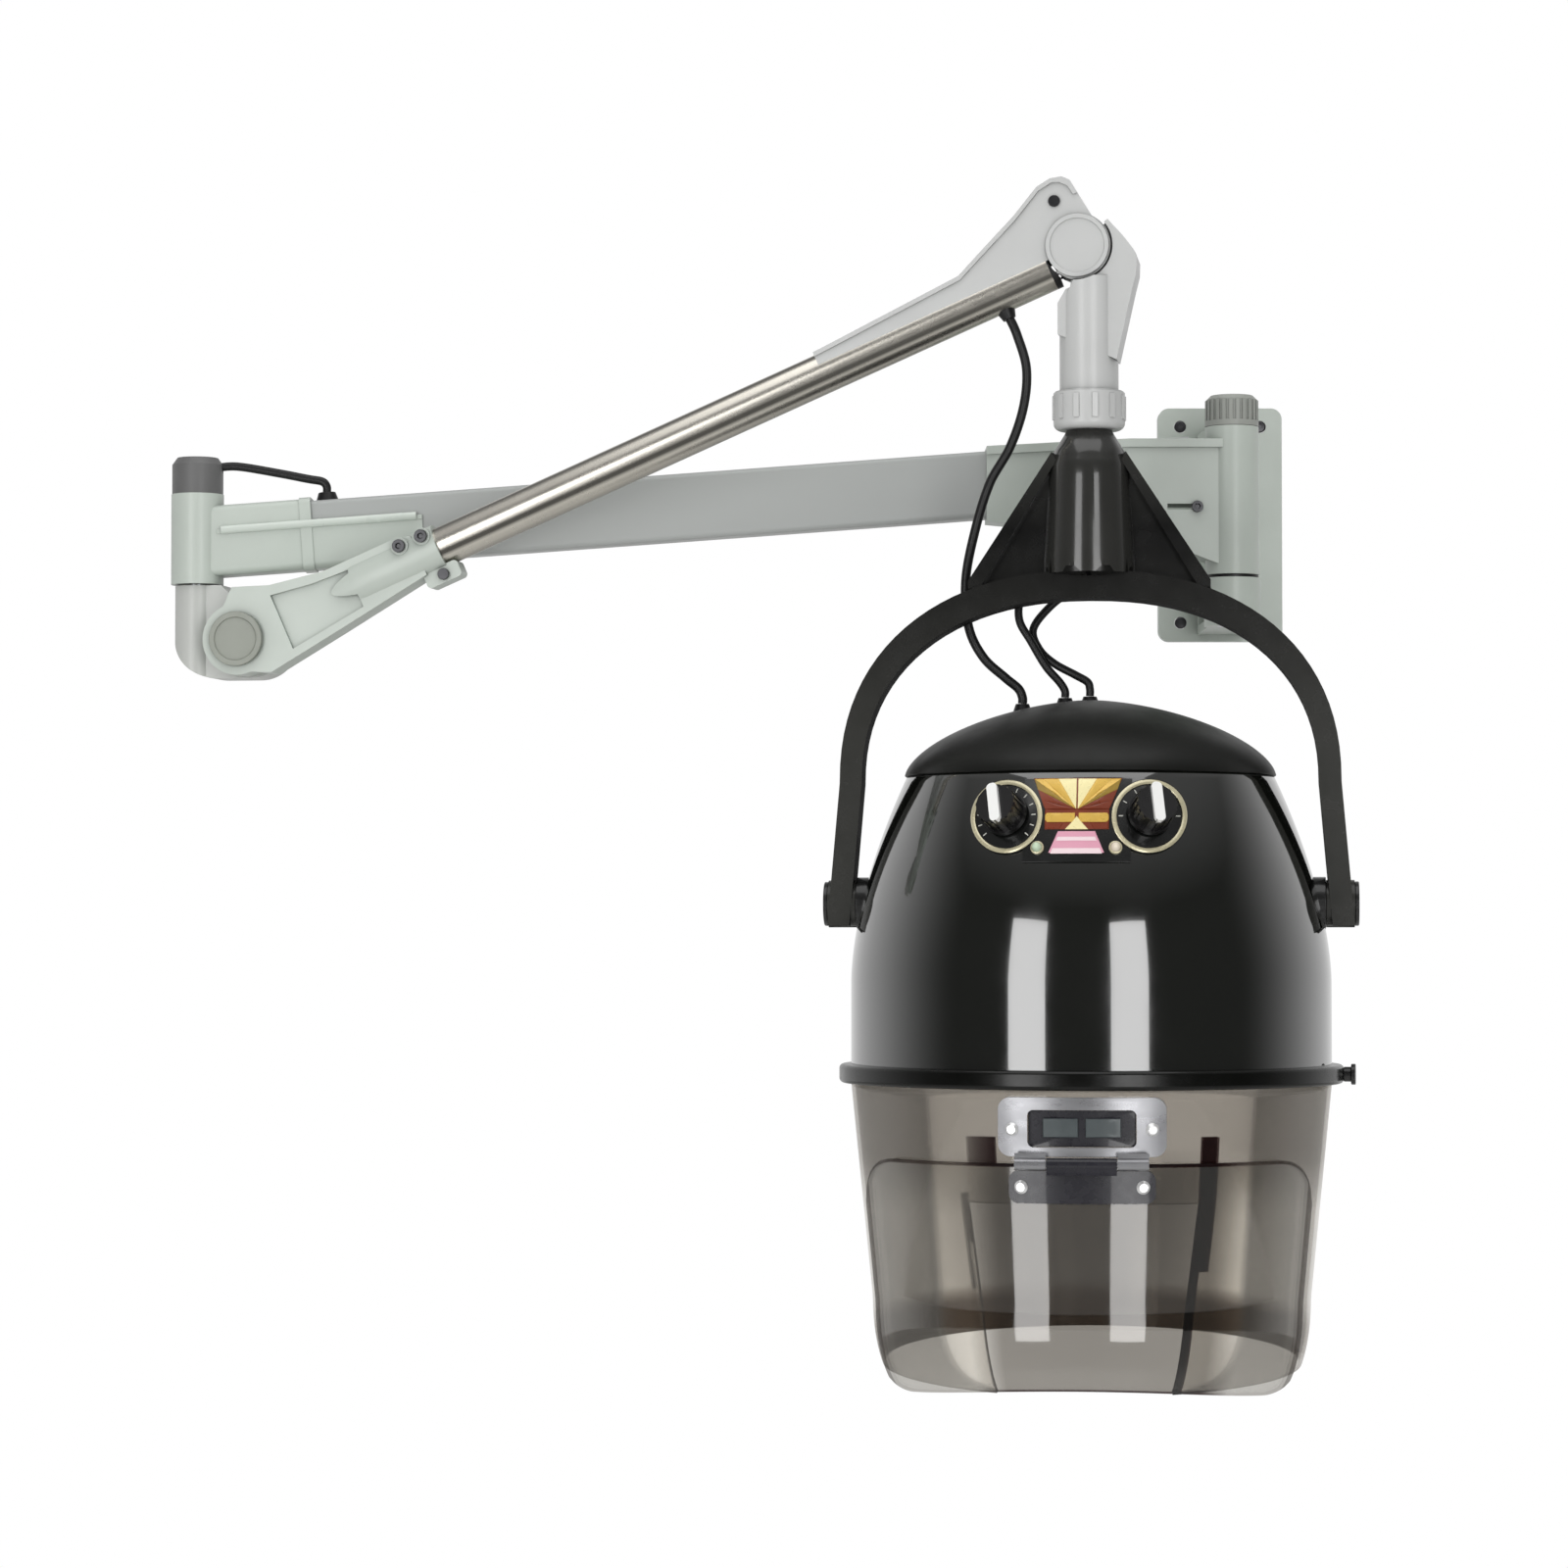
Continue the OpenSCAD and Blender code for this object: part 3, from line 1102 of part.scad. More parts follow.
// ---------------------------------------------------------------------- leads
lead_r = 3.2;
inner_r = 2.8;
sides = 8;
per_leg = 2;
lead_pts = [[-163.2, -216, 121.6], [-158.4, -216.7, 110.4], [-152, -214, 88], [-154, -212, 62],
    [-163, -209, 35], [-177, -204, 10], [-187, -199, -23], [-193, -196, -56],
    [-191, -195.4, -87], [-181, -195.4, -108], [-166, -195.4, -122], [-157, -195.3, -129.5],
    [-154.2, -195.3, -135.5], [-154.1, -195.3, -139.7]];
left_pts = [[-111.1, -204.8, -44], [-110.5, -194, -44], [-114, -186.5, -46], [-122, -186, -50],
    [-140, -186, -56], [-154, -190, -66], [-156, -191, -82], [-148, -192, -97], [-138, -193, -114],
    [-128.5, -193.2, -125], [-124.9, -193.3, -131], [-124.8, -193.3, -135.5]];
right_pts = [[-104.7, -205.4, -44], [-103.8, -194, -44], [-104, -184, -47], [-108, -180, -52],
    [-116, -179.5, -58], [-134, -180, -72], [-146, -183, -88], [-142, -186, -102], [-132, -190, -112],
    [-118, -194, -120], [-109.6, -195, -125], [-107.9, -195.1, -130], [-107.9, -195.1, -134.6]];
lead_line = smooth(lead_pts, per_leg);
left_line = smooth(left_pts, per_leg);
right_line = smooth(right_pts, per_leg);
// the long lead is parted where it passes from the head to the yoke, and on to the hood
cut_1 = 3 * per_leg;
cut_2 = 7 * per_leg;
module lead_top() color([0.06, 0.06, 0.06]) cable(lead_line, 0, cut_1, lead_r, sides);
module lead_mid() color([0.06, 0.06, 0.06]) cable(lead_line, cut_1, cut_2, lead_r, sides);
module lead_low() color([0.06, 0.06, 0.06]) cable(lead_line, cut_2, len(lead_line) - 1, lead_r, sides);
module inner_lead_left() color([0.06, 0.06, 0.06])
    cable(left_line, 0, len(left_line) - 1, inner_r, sides);
module inner_lead_right() color([0.06, 0.06, 0.06])
    cable(right_line, 0, len(right_line) - 1, inner_r, sides);

wall_plate();
wall_pivot_pin();
wall_pin_cap();
wall_thrust_washer();
wall_sleeve();
wall_bushes();
clamp_screw();
arm_tube();
elbow_casting();
elbow_bush();
elbow_cap();
loop_grommet();
elbow_loop_cable();
knuckle();
elbow_pin();
lift_spring();
lower_casting();
fore_tube();
upper_fork();
lift_bolt();
head_bolt();
spacer_rivet();
socket_screws();
cord_grommet();
tube_end_plug();
level_link();
head_casting();
head_collar();
head_bushes();
yoke_hoop();
yoke_spindle();
yoke_end_caps();
hood_cap();
hood_shell();
hood_flange();
skirt();
inner_bowl();
motor();
motor_plate();
heater();
control_panel();
trim_plate();
label_plate();
lamps();
cord_glands();
side_pivots();
hinge_upper_leaf();
hinge_screws();
flange_latch();
fan();
timer_knob();
heat_knob();
visor();
hinge_lower_leaf();
lead_top();
lead_mid();
lead_low();
inner_lead_left();
inner_lead_right();
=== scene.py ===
import json
import math

import bmesh
import bpy
from mathutils import Matrix, Vector
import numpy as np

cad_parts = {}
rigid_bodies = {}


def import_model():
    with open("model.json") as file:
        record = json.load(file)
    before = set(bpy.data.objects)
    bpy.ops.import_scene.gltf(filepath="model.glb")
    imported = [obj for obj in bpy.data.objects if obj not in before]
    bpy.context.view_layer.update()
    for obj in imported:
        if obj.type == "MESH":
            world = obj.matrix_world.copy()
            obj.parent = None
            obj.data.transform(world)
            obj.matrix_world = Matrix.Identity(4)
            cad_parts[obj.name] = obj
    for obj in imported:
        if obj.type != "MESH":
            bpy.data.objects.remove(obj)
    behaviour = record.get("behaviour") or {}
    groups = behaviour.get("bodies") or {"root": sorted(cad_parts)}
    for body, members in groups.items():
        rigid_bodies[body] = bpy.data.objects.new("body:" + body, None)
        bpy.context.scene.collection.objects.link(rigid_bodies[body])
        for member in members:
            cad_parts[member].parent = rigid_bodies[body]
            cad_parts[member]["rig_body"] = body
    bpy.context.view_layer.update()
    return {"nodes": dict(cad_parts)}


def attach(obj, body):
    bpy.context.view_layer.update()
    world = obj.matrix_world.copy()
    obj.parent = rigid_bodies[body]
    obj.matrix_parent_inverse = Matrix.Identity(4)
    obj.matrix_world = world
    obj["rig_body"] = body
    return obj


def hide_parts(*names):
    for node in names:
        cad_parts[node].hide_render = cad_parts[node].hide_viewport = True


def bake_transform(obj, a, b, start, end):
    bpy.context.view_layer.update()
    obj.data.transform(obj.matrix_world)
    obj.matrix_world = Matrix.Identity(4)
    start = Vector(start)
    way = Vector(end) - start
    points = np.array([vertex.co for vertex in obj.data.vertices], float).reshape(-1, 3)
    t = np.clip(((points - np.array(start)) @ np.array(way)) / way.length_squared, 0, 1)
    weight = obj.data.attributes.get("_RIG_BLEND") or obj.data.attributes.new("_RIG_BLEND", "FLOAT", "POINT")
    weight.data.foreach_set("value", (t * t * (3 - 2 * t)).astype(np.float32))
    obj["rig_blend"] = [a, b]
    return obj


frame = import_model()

scene = bpy.context.scene
MM = 0.001
nodes = frame["nodes"]

# ------------------------------------------------------------------ camera
CAM_AT = (-0.3175, -3.225, -0.2955)
CAM_PITCH = 1.9015
SENSOR, LENS, CLIP_END = 36, 101.66, 60
camera_data = bpy.data.cameras.new("camera")
camera_data.sensor_width = SENSOR
camera_data.lens = LENS
camera_data.clip_end = CLIP_END
camera = bpy.data.objects.new("camera", camera_data)
camera.location = CAM_AT
camera.rotation_euler = (math.radians(90 + CAM_PITCH), 0, 0)
scene.collection.objects.link(camera)
scene.camera = camera

# ------------------------------------------------- places, as in the CAD source (mm)
ARM_OUT = 95
ELBOW = Vector((-733.026, -95, 0))
ELBOW_TOP = 13.37
AXIS = Vector((-110.038, -225.049, 0))
YOKE_Z = 43.969
CROWN_DROP = 95.5
TILT_Z = -277.031
YOKE_TURN = math.radians(-6)


def frame_on_axis(z):
    """A frame in mm on the yoke's axis at a height, turned with the yoke."""
    return (Matrix.Translation((AXIS + Vector((0, 0, z))) * MM) @ Matrix.Rotation(YOKE_TURN, 4, "Z")
            @ Matrix.Scale(MM, 4))


HOOD, YOKE = frame_on_axis(TILT_Z), frame_on_axis(YOKE_Z)


# ---------------------------------------------------------------- mesh helpers
def add_object(name, mesh):
    ob = bpy.data.objects.new(name, mesh)
    scene.collection.objects.link(ob)
    return ob


def smooth_edges(ob, angle=32):
    for p in ob.data.polygons:
        p.use_smooth = True
    ob.data.set_sharp_from_angle(angle=math.radians(angle))


def from_bmesh(name, bm, angle=32):
    bmesh.ops.recalc_face_normals(bm, faces=bm.faces)
    me = bpy.data.meshes.new(name)
    bm.to_mesh(me)
    bm.free()
    ob = add_object(name, me)
    smooth_edges(ob, angle)
    return ob


def catmull(p, i, t):
    """The point at t, from 0 to 1, on the smooth curve's leg from p[i] to p[i + 1]."""
    a, b, c, d = p[max(0, i - 1)], p[i], p[i + 1], p[min(len(p) - 1, i + 2)]
    return 0.5 * (2 * b + (c - a) * t + (2 * a - 5 * b + 4 * c - d) * t * t
                  + (3 * b - a - 3 * c + d) * t * t * t)


def route(points, first=0, last=None):
    """A smooth line through the given points, from the first to the last wanted."""
    pts = [Vector(p) for p in points]
    last = len(pts) - 1 if last is None else last
    return [catmull(pts, i, k / PER_LEG) for i in range(first, last) for k in range(PER_LEG)] + [pts[last]]


def tube_mesh(name, line, radius, sides=14):
    """A closed tube along the points of line, in mm."""
    bm = bmesh.new()
    rings = []
    for i, p in enumerate(line):
        d = (line[min(len(line) - 1, i + 1)] - line[max(0, i - 1)]).normalized()
        u = d.cross(Vector((0.1, 1, 0.05))).normalized()
        v = d.cross(u)
        rings.append([bm.verts.new((p + radius * (math.cos(t) * u + math.sin(t) * v)) * MM)
                      for t in (2 * math.pi * k / sides for k in range(sides))])
    for a, b in zip(rings, rings[1:]):
        for k in range(sides):
            bm.faces.new((a[k], a[(k + 1) % sides], b[(k + 1) % sides], b[k]))
    bm.faces.new(rings[0])
    bm.faces.new(rings[-1])
    return from_bmesh(name, bm, 50)


# ------------------------------------------------------------------------ cords
LEAD_R, INNER_R, LOOP_R = 3.2, 2.8, 3.0
# steps between two points of a route
PER_LEG = 8
# the points of LEAD where it passes from the head to the yoke and from the yoke to the hood
TO_YOKE, TO_HOOD = 3, 7
LEAD = [(-163.2, -216, 121.6), (-158.4, -216.7, 110.4), (-152, -214, 88), (-154, -212, 62),
        (-163, -209, 35), (-177, -204, 10), (-187, -199, -23), (-193, -196, -56),
        (-191, -195.4, -87), (-181, -195.4, -108), (-166, -195.4, -122), (-157, -195.3, -129.5),
        (-154.2, -195.3, -135.5), (-154.1, -195.3, -139.7)]
LEFT = [(-111.1, -204.8, -44), (-110.5, -194, -44), (-114, -186.5, -46), (-122, -186, -50),
        (-140, -186, -56), (-154, -190, -66), (-156, -191, -82), (-148, -192, -97), (-138, -193, -114),
        (-128.5, -193.2, -125), (-124.9, -193.3, -131), (-124.8, -193.3, -135.5)]
RIGHT = [(-104.7, -205.4, -44), (-103.8, -194, -44), (-104, -184, -47), (-108, -180, -52),
         (-116, -179.5, -58), (-134, -180, -72), (-146, -183, -88), (-142, -186, -102), (-132, -190, -112),
         (-118, -194, -120), (-109.6, -195, -125), (-107.9, -195.1, -130), (-107.9, -195.1, -134.6)]
LOOP = [(12, 0, 19), (27.8, 0, 20.2), (56.3, 0, 15.6), (78, 0, 11.4), (88, 0, 9.6), (91.3, 0, 6.2),
        (91.6, 0, 2.1)]


def lead(name, line, radius, bodies, replaced):
    """A cord along a line, blended between two bodies or riding one."""
    ob = tube_mesh(name, line, radius)
    path = [tuple(p * MM) for p in line]
    if len(bodies) == 2:
        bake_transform(ob, bodies[0], bodies[1], start=path[0], end=path[-1])
    else:
        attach(ob, bodies[0])
    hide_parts(replaced)
    return ob


cords = [
    lead("lead_upper", route(LEAD, 0, TO_YOKE), LEAD_R, ("forearm", "head"), "lead_top"),
    lead("lead_middle", route(LEAD, TO_YOKE, TO_HOOD), LEAD_R, ("head", "yoke"), "lead_mid"),
    lead("lead_lower", route(LEAD, TO_HOOD), LEAD_R, ("yoke", "hood"), "lead_low"),
    lead("lead_left", route(LEFT), INNER_R, ("yoke", "hood"), "inner_lead_left"),
    lead("lead_right", route(RIGHT), INNER_R, ("yoke", "hood"), "inner_lead_right"),
    lead("loop_cable", route([ELBOW + Vector((x, y, z + ELBOW_TOP)) for x, y, z in LOOP]), LOOP_R,
         ("wall_arm",), "elbow_loop_cable"),
]


# -------------------------------------------------------------------- materials
def rgb(*levels):
    """An sRGB colour, 0 to 255, as linear values."""
    shares = [level / 255 for level in levels]
    return tuple(c / 12.92 if c <= 0.04045 else ((c + 0.055) / 1.055) ** 2.4 for c in shares)


class Tree:
    """Short calls for the nodes of a material or of the world."""

    SETTINGS = ("operation", "blend_type", "data_type", "interpolation_type", "samples")

    def __init__(self, owner, output="OutputMaterial"):
        owner.use_nodes = True
        self.owner = owner
        self.nt = owner.node_tree
        self.nt.nodes.clear()
        self.out = self.nt.nodes.new("ShaderNode" + output)

    def put(self, socket, value):
        if isinstance(value, bpy.types.NodeSocket):
            self.nt.links.new(value, socket)
        else:
            socket.default_value = value

    def node(self, kind, **values):
        """A new node. Its sockets go by name, or by number as i0, i1 and so on."""
        n = self.nt.nodes.new("ShaderNode" + kind)
        for key, value in values.items():
            name = key.replace("_", " ")
            if key in self.SETTINGS:
                setattr(n, key, value)
            else:
                self.put(n.inputs[name] if name in n.inputs else n.inputs[int(key[1:])], value)
        return n

    def at(self):
        return self.node("TexCoord").outputs["Object"]

    def noise(self, scale, detail=3.0, rough=0.55, stretch=(1, 1, 1)):
        place = self.node("Mapping", Vector=self.at(), Scale=stretch).outputs[0]
        return self.node("TexNoise", Vector=place, Scale=scale, Detail=detail, Roughness=rough).outputs["Fac"]

    def ranged(self, value, low, high, from_low=0.3, from_high=0.7, **settings):
        return self.node("MapRange", Value=value, From_Min=from_low, From_Max=from_high,
                         To_Min=low, To_Max=high, **settings).outputs[0]

    def mix(self, factor, a, b, blend_type="MIX"):
        n = self.node("Mix", data_type="RGBA", blend_type=blend_type)
        for key, value in (("Factor", factor), ("A", a), ("B", b)):
            socket = [s for s in n.inputs if s.name == key and s.enabled][0]
            self.put(socket, (*value, 1.0) if isinstance(value, tuple) else value)
        return [s for s in n.outputs if s.enabled][0]

    def math(self, operation, a, b=0.0):
        return self.node("Math", operation=operation, i0=a, i1=b).outputs[0]

    def ramp(self, value, stops):
        """Greys along a value. The ramp's own two stops, at 0 and 1, are the first and the last."""
        n = self.node("ValToRGB", Fac=value)
        elements = n.color_ramp.elements
        for at, level in stops:
            stop = elements[0] if at == 0 else elements[-1] if at == 1 else elements.new(at)
            stop.color = (level, level, level, 1)
        return n.outputs[0]

    def bump(self, height, strength, distance):
        return self.node("Bump", Strength=strength, Distance=distance, Height=height).outputs[0]

    def surface(self, socket):
        self.nt.links.new(socket, self.out.inputs["Surface"])
        return self.owner


def tint(c, k):
    return tuple(min(1.0, v * k) for v in c)


def finish(name, colour, rough, metal=0.0, spec=0.5, coat=0.0, coat_rough=0.06, coat_ior=1.5, grain=900.0,
           grain_bump=0.06, grain_depth=0.0002, mottle=0.06, mottle_scale=18.0, rough_vary=0.06, corner_shade=0.0,
           corner_shade_colour=None, stretch=(1, 1, 1), light_and_shade_bands=None, glow=0.0):
    """A painted, moulded or metal finish: broad mottling, fine grain bump, varied gloss, and painted shade
    darkening the corners.

    Given bands, its colour has painted light and dark lines that stand for reflections and shade, and with glow
    the camera sees it lit by that much more.
    """
    t = Tree(bpy.data.materials.new(name))
    broad = t.noise(mottle_scale, 4.0, 0.6, stretch)
    base = t.mix(t.ranged(broad, 0.0, 1.0), tint(colour, 1 - mottle), tint(colour, 1 + mottle))
    # painted light: the colour is multiplied by a ramp of light and dark lines fixed on the surface, standing
    # for reflections and shade
    if light_and_shade_bands:
        # by the distance along a direction from a point, over a span in metres
        direction, start, span, stops = light_and_shade_bands
        place = t.node("VectorMath", operation="SUBTRACT", i0=t.at(), i1=start).outputs[0]
        along = t.node("VectorMath", operation="DOT_PRODUCT", i0=place, i1=direction).outputs["Value"]
        base = t.mix(1.0, base, t.ramp(t.ranged(along, 0.0, 1.0, *span), stops), "MULTIPLY")
    # painted shade: the colour darkens, in patches, in the corners that ambient occlusion finds
    if corner_shade:
        shade = t.node("AmbientOcclusion", samples=6, Distance=0.012).outputs["AO"]
        corner_shade_share = t.math("MULTIPLY", t.ranged(shade, 1.0, 0.0, 0.25, 0.95), corner_shade)
        corner_shade_share = t.math("MULTIPLY", corner_shade_share, t.ranged(t.noise(60.0, 5.0, 0.6), 0.5, 1.0))
        base = t.mix(corner_shade_share, base, corner_shade_colour)
    fine = t.noise(grain, 2.0, 0.5, stretch)
    patches = t.noise(mottle_scale * 3, 4.0, 0.6, stretch)
    skin = t.node("BsdfPrincipled", Base_Color=base, Metallic=metal, IOR=1.5, Specular_IOR_Level=spec,
                  Coat_Weight=coat, Coat_Roughness=coat_rough, Coat_IOR=coat_ior,
                  Roughness=t.ranged(patches, rough - rough_vary, rough + rough_vary),
                  Normal=t.bump(fine, grain_bump, grain_depth)).outputs[0]
    if glow:
        strength = t.math("MULTIPLY", t.node("LightPath").outputs["Is Camera Ray"], glow)
        lit = t.node("Emission", Strength=strength).outputs[0]
        skin = t.node("AddShader", i0=skin, i1=lit).outputs[0]
    return t.surface(skin)


def tube_axis():
    """The middle of the forearm tube's lower end, and the direction of the tube."""
    pts = [v.co for v in nodes["fore_tube"].data.vertices]
    d = Vector((0.914, 0, 0.404))
    for _ in range(4):
        ends = []
        for x in (min(p.dot(d) for p in pts), max(p.dot(d) for p in pts)):
            ring = [p for p in pts if abs(p.dot(d) - x) < 0.0008]
            ends.append(sum(ring, Vector()) / len(ring))
        d = (ends[1] - ends[0]).normalized()
    return ends[0], d


# the tube's painted reflection, light and dark lines across it: direction, start, span in metres, stops. The
# last stops are white.
TUBE_AT, TUBE_ALONG = tube_axis()
TUBE_PAINTED_REFLECTION = ((-TUBE_ALONG.z, 0, TUBE_ALONG.x), tuple(TUBE_AT), (-0.014, 0.014), [
    (0.0, 0.5), (0.1, 0.75), (0.22, 0.72), (0.3, 0.14), (0.37, 0.16), (0.44, 0.55), (0.56, 0.75), (0.64, 1.0),
    (0.82, 1.0), (0.88, 0.7), (0.94, 0.22), (1.0, 1.0)])
# the hoop's painted shade: its colour darkens towards the crown and stays full down the legs, which catch more
# light
YOKE_PAINTED_SHADE = ((0, 0, 1), (0, 0, 0), (-0.28, 0.04), [(0.0, 1.0), (0.35, 1.0), (0.8, 0.05), (1.0, 1.0)])

# the castings, arm, pale parts, knuckle, pivot and ribbed cap have painted shade darkening their corners
M = {
    "casting": finish("casting_paint", rgb(191, 199, 191), 0.42, coat=0.25, coat_rough=0.25, grain=520,
                      grain_bump=0.16, mottle=0.04, mottle_scale=14, corner_shade=0.75, corner_shade_colour=rgb(88, 95, 89)),
    # painted highlight: the ridge is painted lighter than the casting
    "ridge": finish("ridge_highlight_paint", rgb(206, 214, 206), 0.3, coat=1.0, coat_rough=0.12, grain=520,
                    grain_bump=0.1, mottle=0.03, mottle_scale=14),
    "arm": finish("arm_paint", rgb(170, 173, 171), 0.4, coat=0.2, coat_rough=0.2, grain=700, grain_bump=0.08,
                  mottle=0.03, mottle_scale=8, stretch=(0.25, 1, 1), corner_shade=0.5,
                  corner_shade_colour=rgb(104, 107, 104)),
    "pale": finish("pale_paint", rgb(197, 198, 197), 0.38, coat=0.3, coat_rough=0.2, grain=620, grain_bump=0.12,
                   mottle=0.035, mottle_scale=16, corner_shade=0.85, corner_shade_colour=rgb(92, 93, 92)),
    "knuckle": finish("knuckle_paint", rgb(192, 194, 190), 0.4, coat=0.25, coat_rough=0.25, grain=520,
                      grain_bump=0.16, mottle=0.04, mottle_scale=14, corner_shade=0.75, corner_shade_colour=rgb(92, 95, 92)),
    "pivot": finish("pivot_paint", rgb(140, 144, 134), 0.4, coat=0.2, coat_rough=0.25, grain=520,
                    grain_bump=0.14, mottle=0.06, mottle_scale=24, corner_shade=0.8, corner_shade_colour=rgb(78, 82, 77)),
    "steel": finish("pin_steel", rgb(190, 192, 196), 0.28, metal=1.0, grain=900, grain_bump=0.03, mottle=0.05),
    "spring": finish("spring_steel", rgb(110, 112, 118), 0.35, metal=1.0, grain=900, grain_bump=0.03,
                     mottle=0.1),
    "cap_grey": finish("cap_grey", rgb(102, 102, 102), 0.46, grain=800, grain_bump=0.12, mottle=0.08),
    "cap_ribbed": finish("cap_ribbed", rgb(158, 161, 155), 0.44, grain=800, grain_bump=0.12, mottle=0.08,
                         corner_shade=0.7, corner_shade_colour=rgb(40, 41, 40)),
    "bush": finish("bush_plastic", rgb(222, 214, 178), 0.45, grain=700, grain_bump=0.05, mottle=0.04),
    "rubber": finish("black_rubber", rgb(18, 18, 19), 0.42, spec=0.45, grain=1500, grain_bump=0.1, mottle=0.18,
                     mottle_scale=60),
    "chrome": finish("tube_chrome", rgb(242, 237, 226), 0.27, metal=1.0, grain=300, grain_bump=0.004,
                     mottle=0.03, rough_vary=0.015, light_and_shade_bands=TUBE_PAINTED_REFLECTION),
    "screw": finish("screw_steel", rgb(72, 72, 74), 0.32, metal=1.0, grain=900, grain_bump=0.04, mottle=0.12),
    "yoke": finish("yoke_black", rgb(50, 50, 47), 0.26, spec=0.35, coat=0.12, coat_rough=0.07, grain=650,
                   grain_bump=0.04, mottle=0.06, mottle_scale=20, rough_vary=0.03, light_and_shade_bands=YOKE_PAINTED_SHADE),
    "boss": finish("boss_black", rgb(46, 46, 44), 0.2, spec=0.5, coat=0.5, coat_rough=0.07, grain=650,
                   grain_bump=0.03, mottle=0.06, mottle_scale=20, rough_vary=0.03),
    # painted shade: the hoop's inner faces are painted darker and duller
    "yoke_inner_shade": finish("yoke_inner_shade", rgb(9, 9, 9), 0.7, spec=0.05, grain=650, grain_bump=0.04, mottle=0.06),
    "end_cap": finish("end_cap_black", rgb(14, 14, 14), 0.3, coat=0.4, grain=900, grain_bump=0.05, mottle=0.12),
    "cap": finish("cap_charcoal", rgb(15, 16, 13), 0.44, spec=0.28, coat=0.04, coat_rough=0.3, grain=950,
                  grain_bump=0.1, mottle=0.06, mottle_scale=10),
    "shell": finish("shell_black", rgb(13, 15, 11), 0.1, spec=1.0, coat=1.0, coat_rough=0.03, coat_ior=1.75,
                    grain=60, grain_bump=0.02, grain_depth=0.0004, mottle=0.06, mottle_scale=9,
                    rough_vary=0.03),
    "flange": finish("flange_black", rgb(8, 9, 7), 0.24, spec=0.3, coat=0.1, coat_rough=0.12, grain=800,
                     grain_bump=0.05, mottle=0.08),
    "bowl": finish("bowl_grey", rgb(150, 150, 147), 0.34, grain=700, grain_bump=0.05, mottle=0.04),
    "motor": finish("motor_metal", rgb(150, 152, 156), 0.34, metal=1.0, grain=500, grain_bump=0.04,
                    mottle=0.06),
    "plate": finish("plate_metal", rgb(170, 171, 168), 0.36, metal=1.0, grain=400, grain_bump=0.04,
                    mottle=0.06),
    "heater": finish("heater_wire", rgb(176, 110, 74), 0.4, metal=1.0, grain=600, grain_bump=0.06, mottle=0.15),
    "panel": finish("panel_black", rgb(12, 13, 12), 0.24, coat=0.6, coat_rough=0.08, grain=900, grain_bump=0.04,
                    mottle=0.1),
    "gold": finish("trim_gold", rgb(222, 182, 84), 0.3, metal=0.25, coat=0.4, grain=900, grain_bump=0.05,
                   mottle=0.07, mottle_scale=70),
    "cream": finish("trim_cream", rgb(246, 234, 176), 0.3, metal=0.1, coat=0.4, grain=900, grain_bump=0.05,
                    mottle=0.05, mottle_scale=70),
    "olive": finish("trim_olive", rgb(150, 122, 40), 0.32, metal=0.2, coat=0.4, grain=900, grain_bump=0.05,
                    mottle=0.1, mottle_scale=70),
    "amber": finish("trim_amber", rgb(122, 48, 20), 0.32, metal=0.1, coat=0.4, grain=900, grain_bump=0.05,
                    mottle=0.12, mottle_scale=70),
    "ring": finish("trim_ring", rgb(214, 206, 172), 0.26, metal=0.35, coat=0.5, grain=900, grain_bump=0.04,
                   mottle=0.1, mottle_scale=40),
    "pink": finish("label_pink", rgb(220, 158, 178), 0.36, grain=900, grain_bump=0.04, mottle=0.06, coat=0.4),
    "blush": finish("label_band", rgb(238, 216, 220), 0.36, grain=900, grain_bump=0.04, mottle=0.05, coat=0.4),
    "lamp": finish("lamp_lens", rgb(196, 216, 188), 0.12, grain=900, grain_bump=0.02, mottle=0.1, coat=1.0),
    "lamp_warm": finish("lamp_lens_warm", rgb(232, 220, 200), 0.12, grain=900, grain_bump=0.02, mottle=0.1,
                        coat=1.0),
    "hinge": finish("hinge_metal", rgb(150, 150, 153), 0.3, metal=0.8, grain=500, grain_bump=0.04, mottle=0.1,
                    mottle_scale=40, stretch=(0.2, 1, 1)),
    "leaf": finish("leaf_dark", rgb(34, 33, 40), 0.28, spec=0.4, coat=0.4, grain=700, grain_bump=0.05,
                   mottle=0.14, mottle_scale=50),
    "block": finish("guard_block", rgb(66, 74, 76), 0.34, coat=0.3, grain=700, grain_bump=0.05, mottle=0.14,
                    mottle_scale=50),
    "fan": finish("fan_plastic", rgb(206, 206, 202), 0.4, grain=800, grain_bump=0.05, mottle=0.04),
    "knob": finish("knob_black", rgb(15, 14, 15), 0.3, coat=0.4, coat_rough=0.1, grain=1100, grain_bump=0.06,
                   mottle=0.1),
    # painted reflection: the chrome pointers are painted white, not metal
    "pointer": finish("pointer_painted_reflection", rgb(240, 240, 238), 0.22, coat=0.6, grain=900, grain_bump=0.02,
                      mottle=0.02),
    "tick": finish("dial_print", rgb(196, 196, 188), 0.5, grain=900, grain_bump=0.02, mottle=0.04),
    "bright": finish("bright_metal", rgb(236, 236, 236), 0.24, metal=0.5, grain=700, grain_bump=0.02,
                     mottle=0.03),
}


# where the skirt is tinted darker, as spans in metres: over the nape and above the rim at the back as painted
# shade, and under the flange
NAPE_Y, BELT_Z, BAND_H, BAND_Y = (0.098, 0.146), (-0.482, -0.448), (0.02, 0.032), (-0.05, 0.06)
# the rim's plane: its height on the axis, and its rise towards the back
RIM_PLANE_Z, RIM_RISE = -0.5856, 0.078
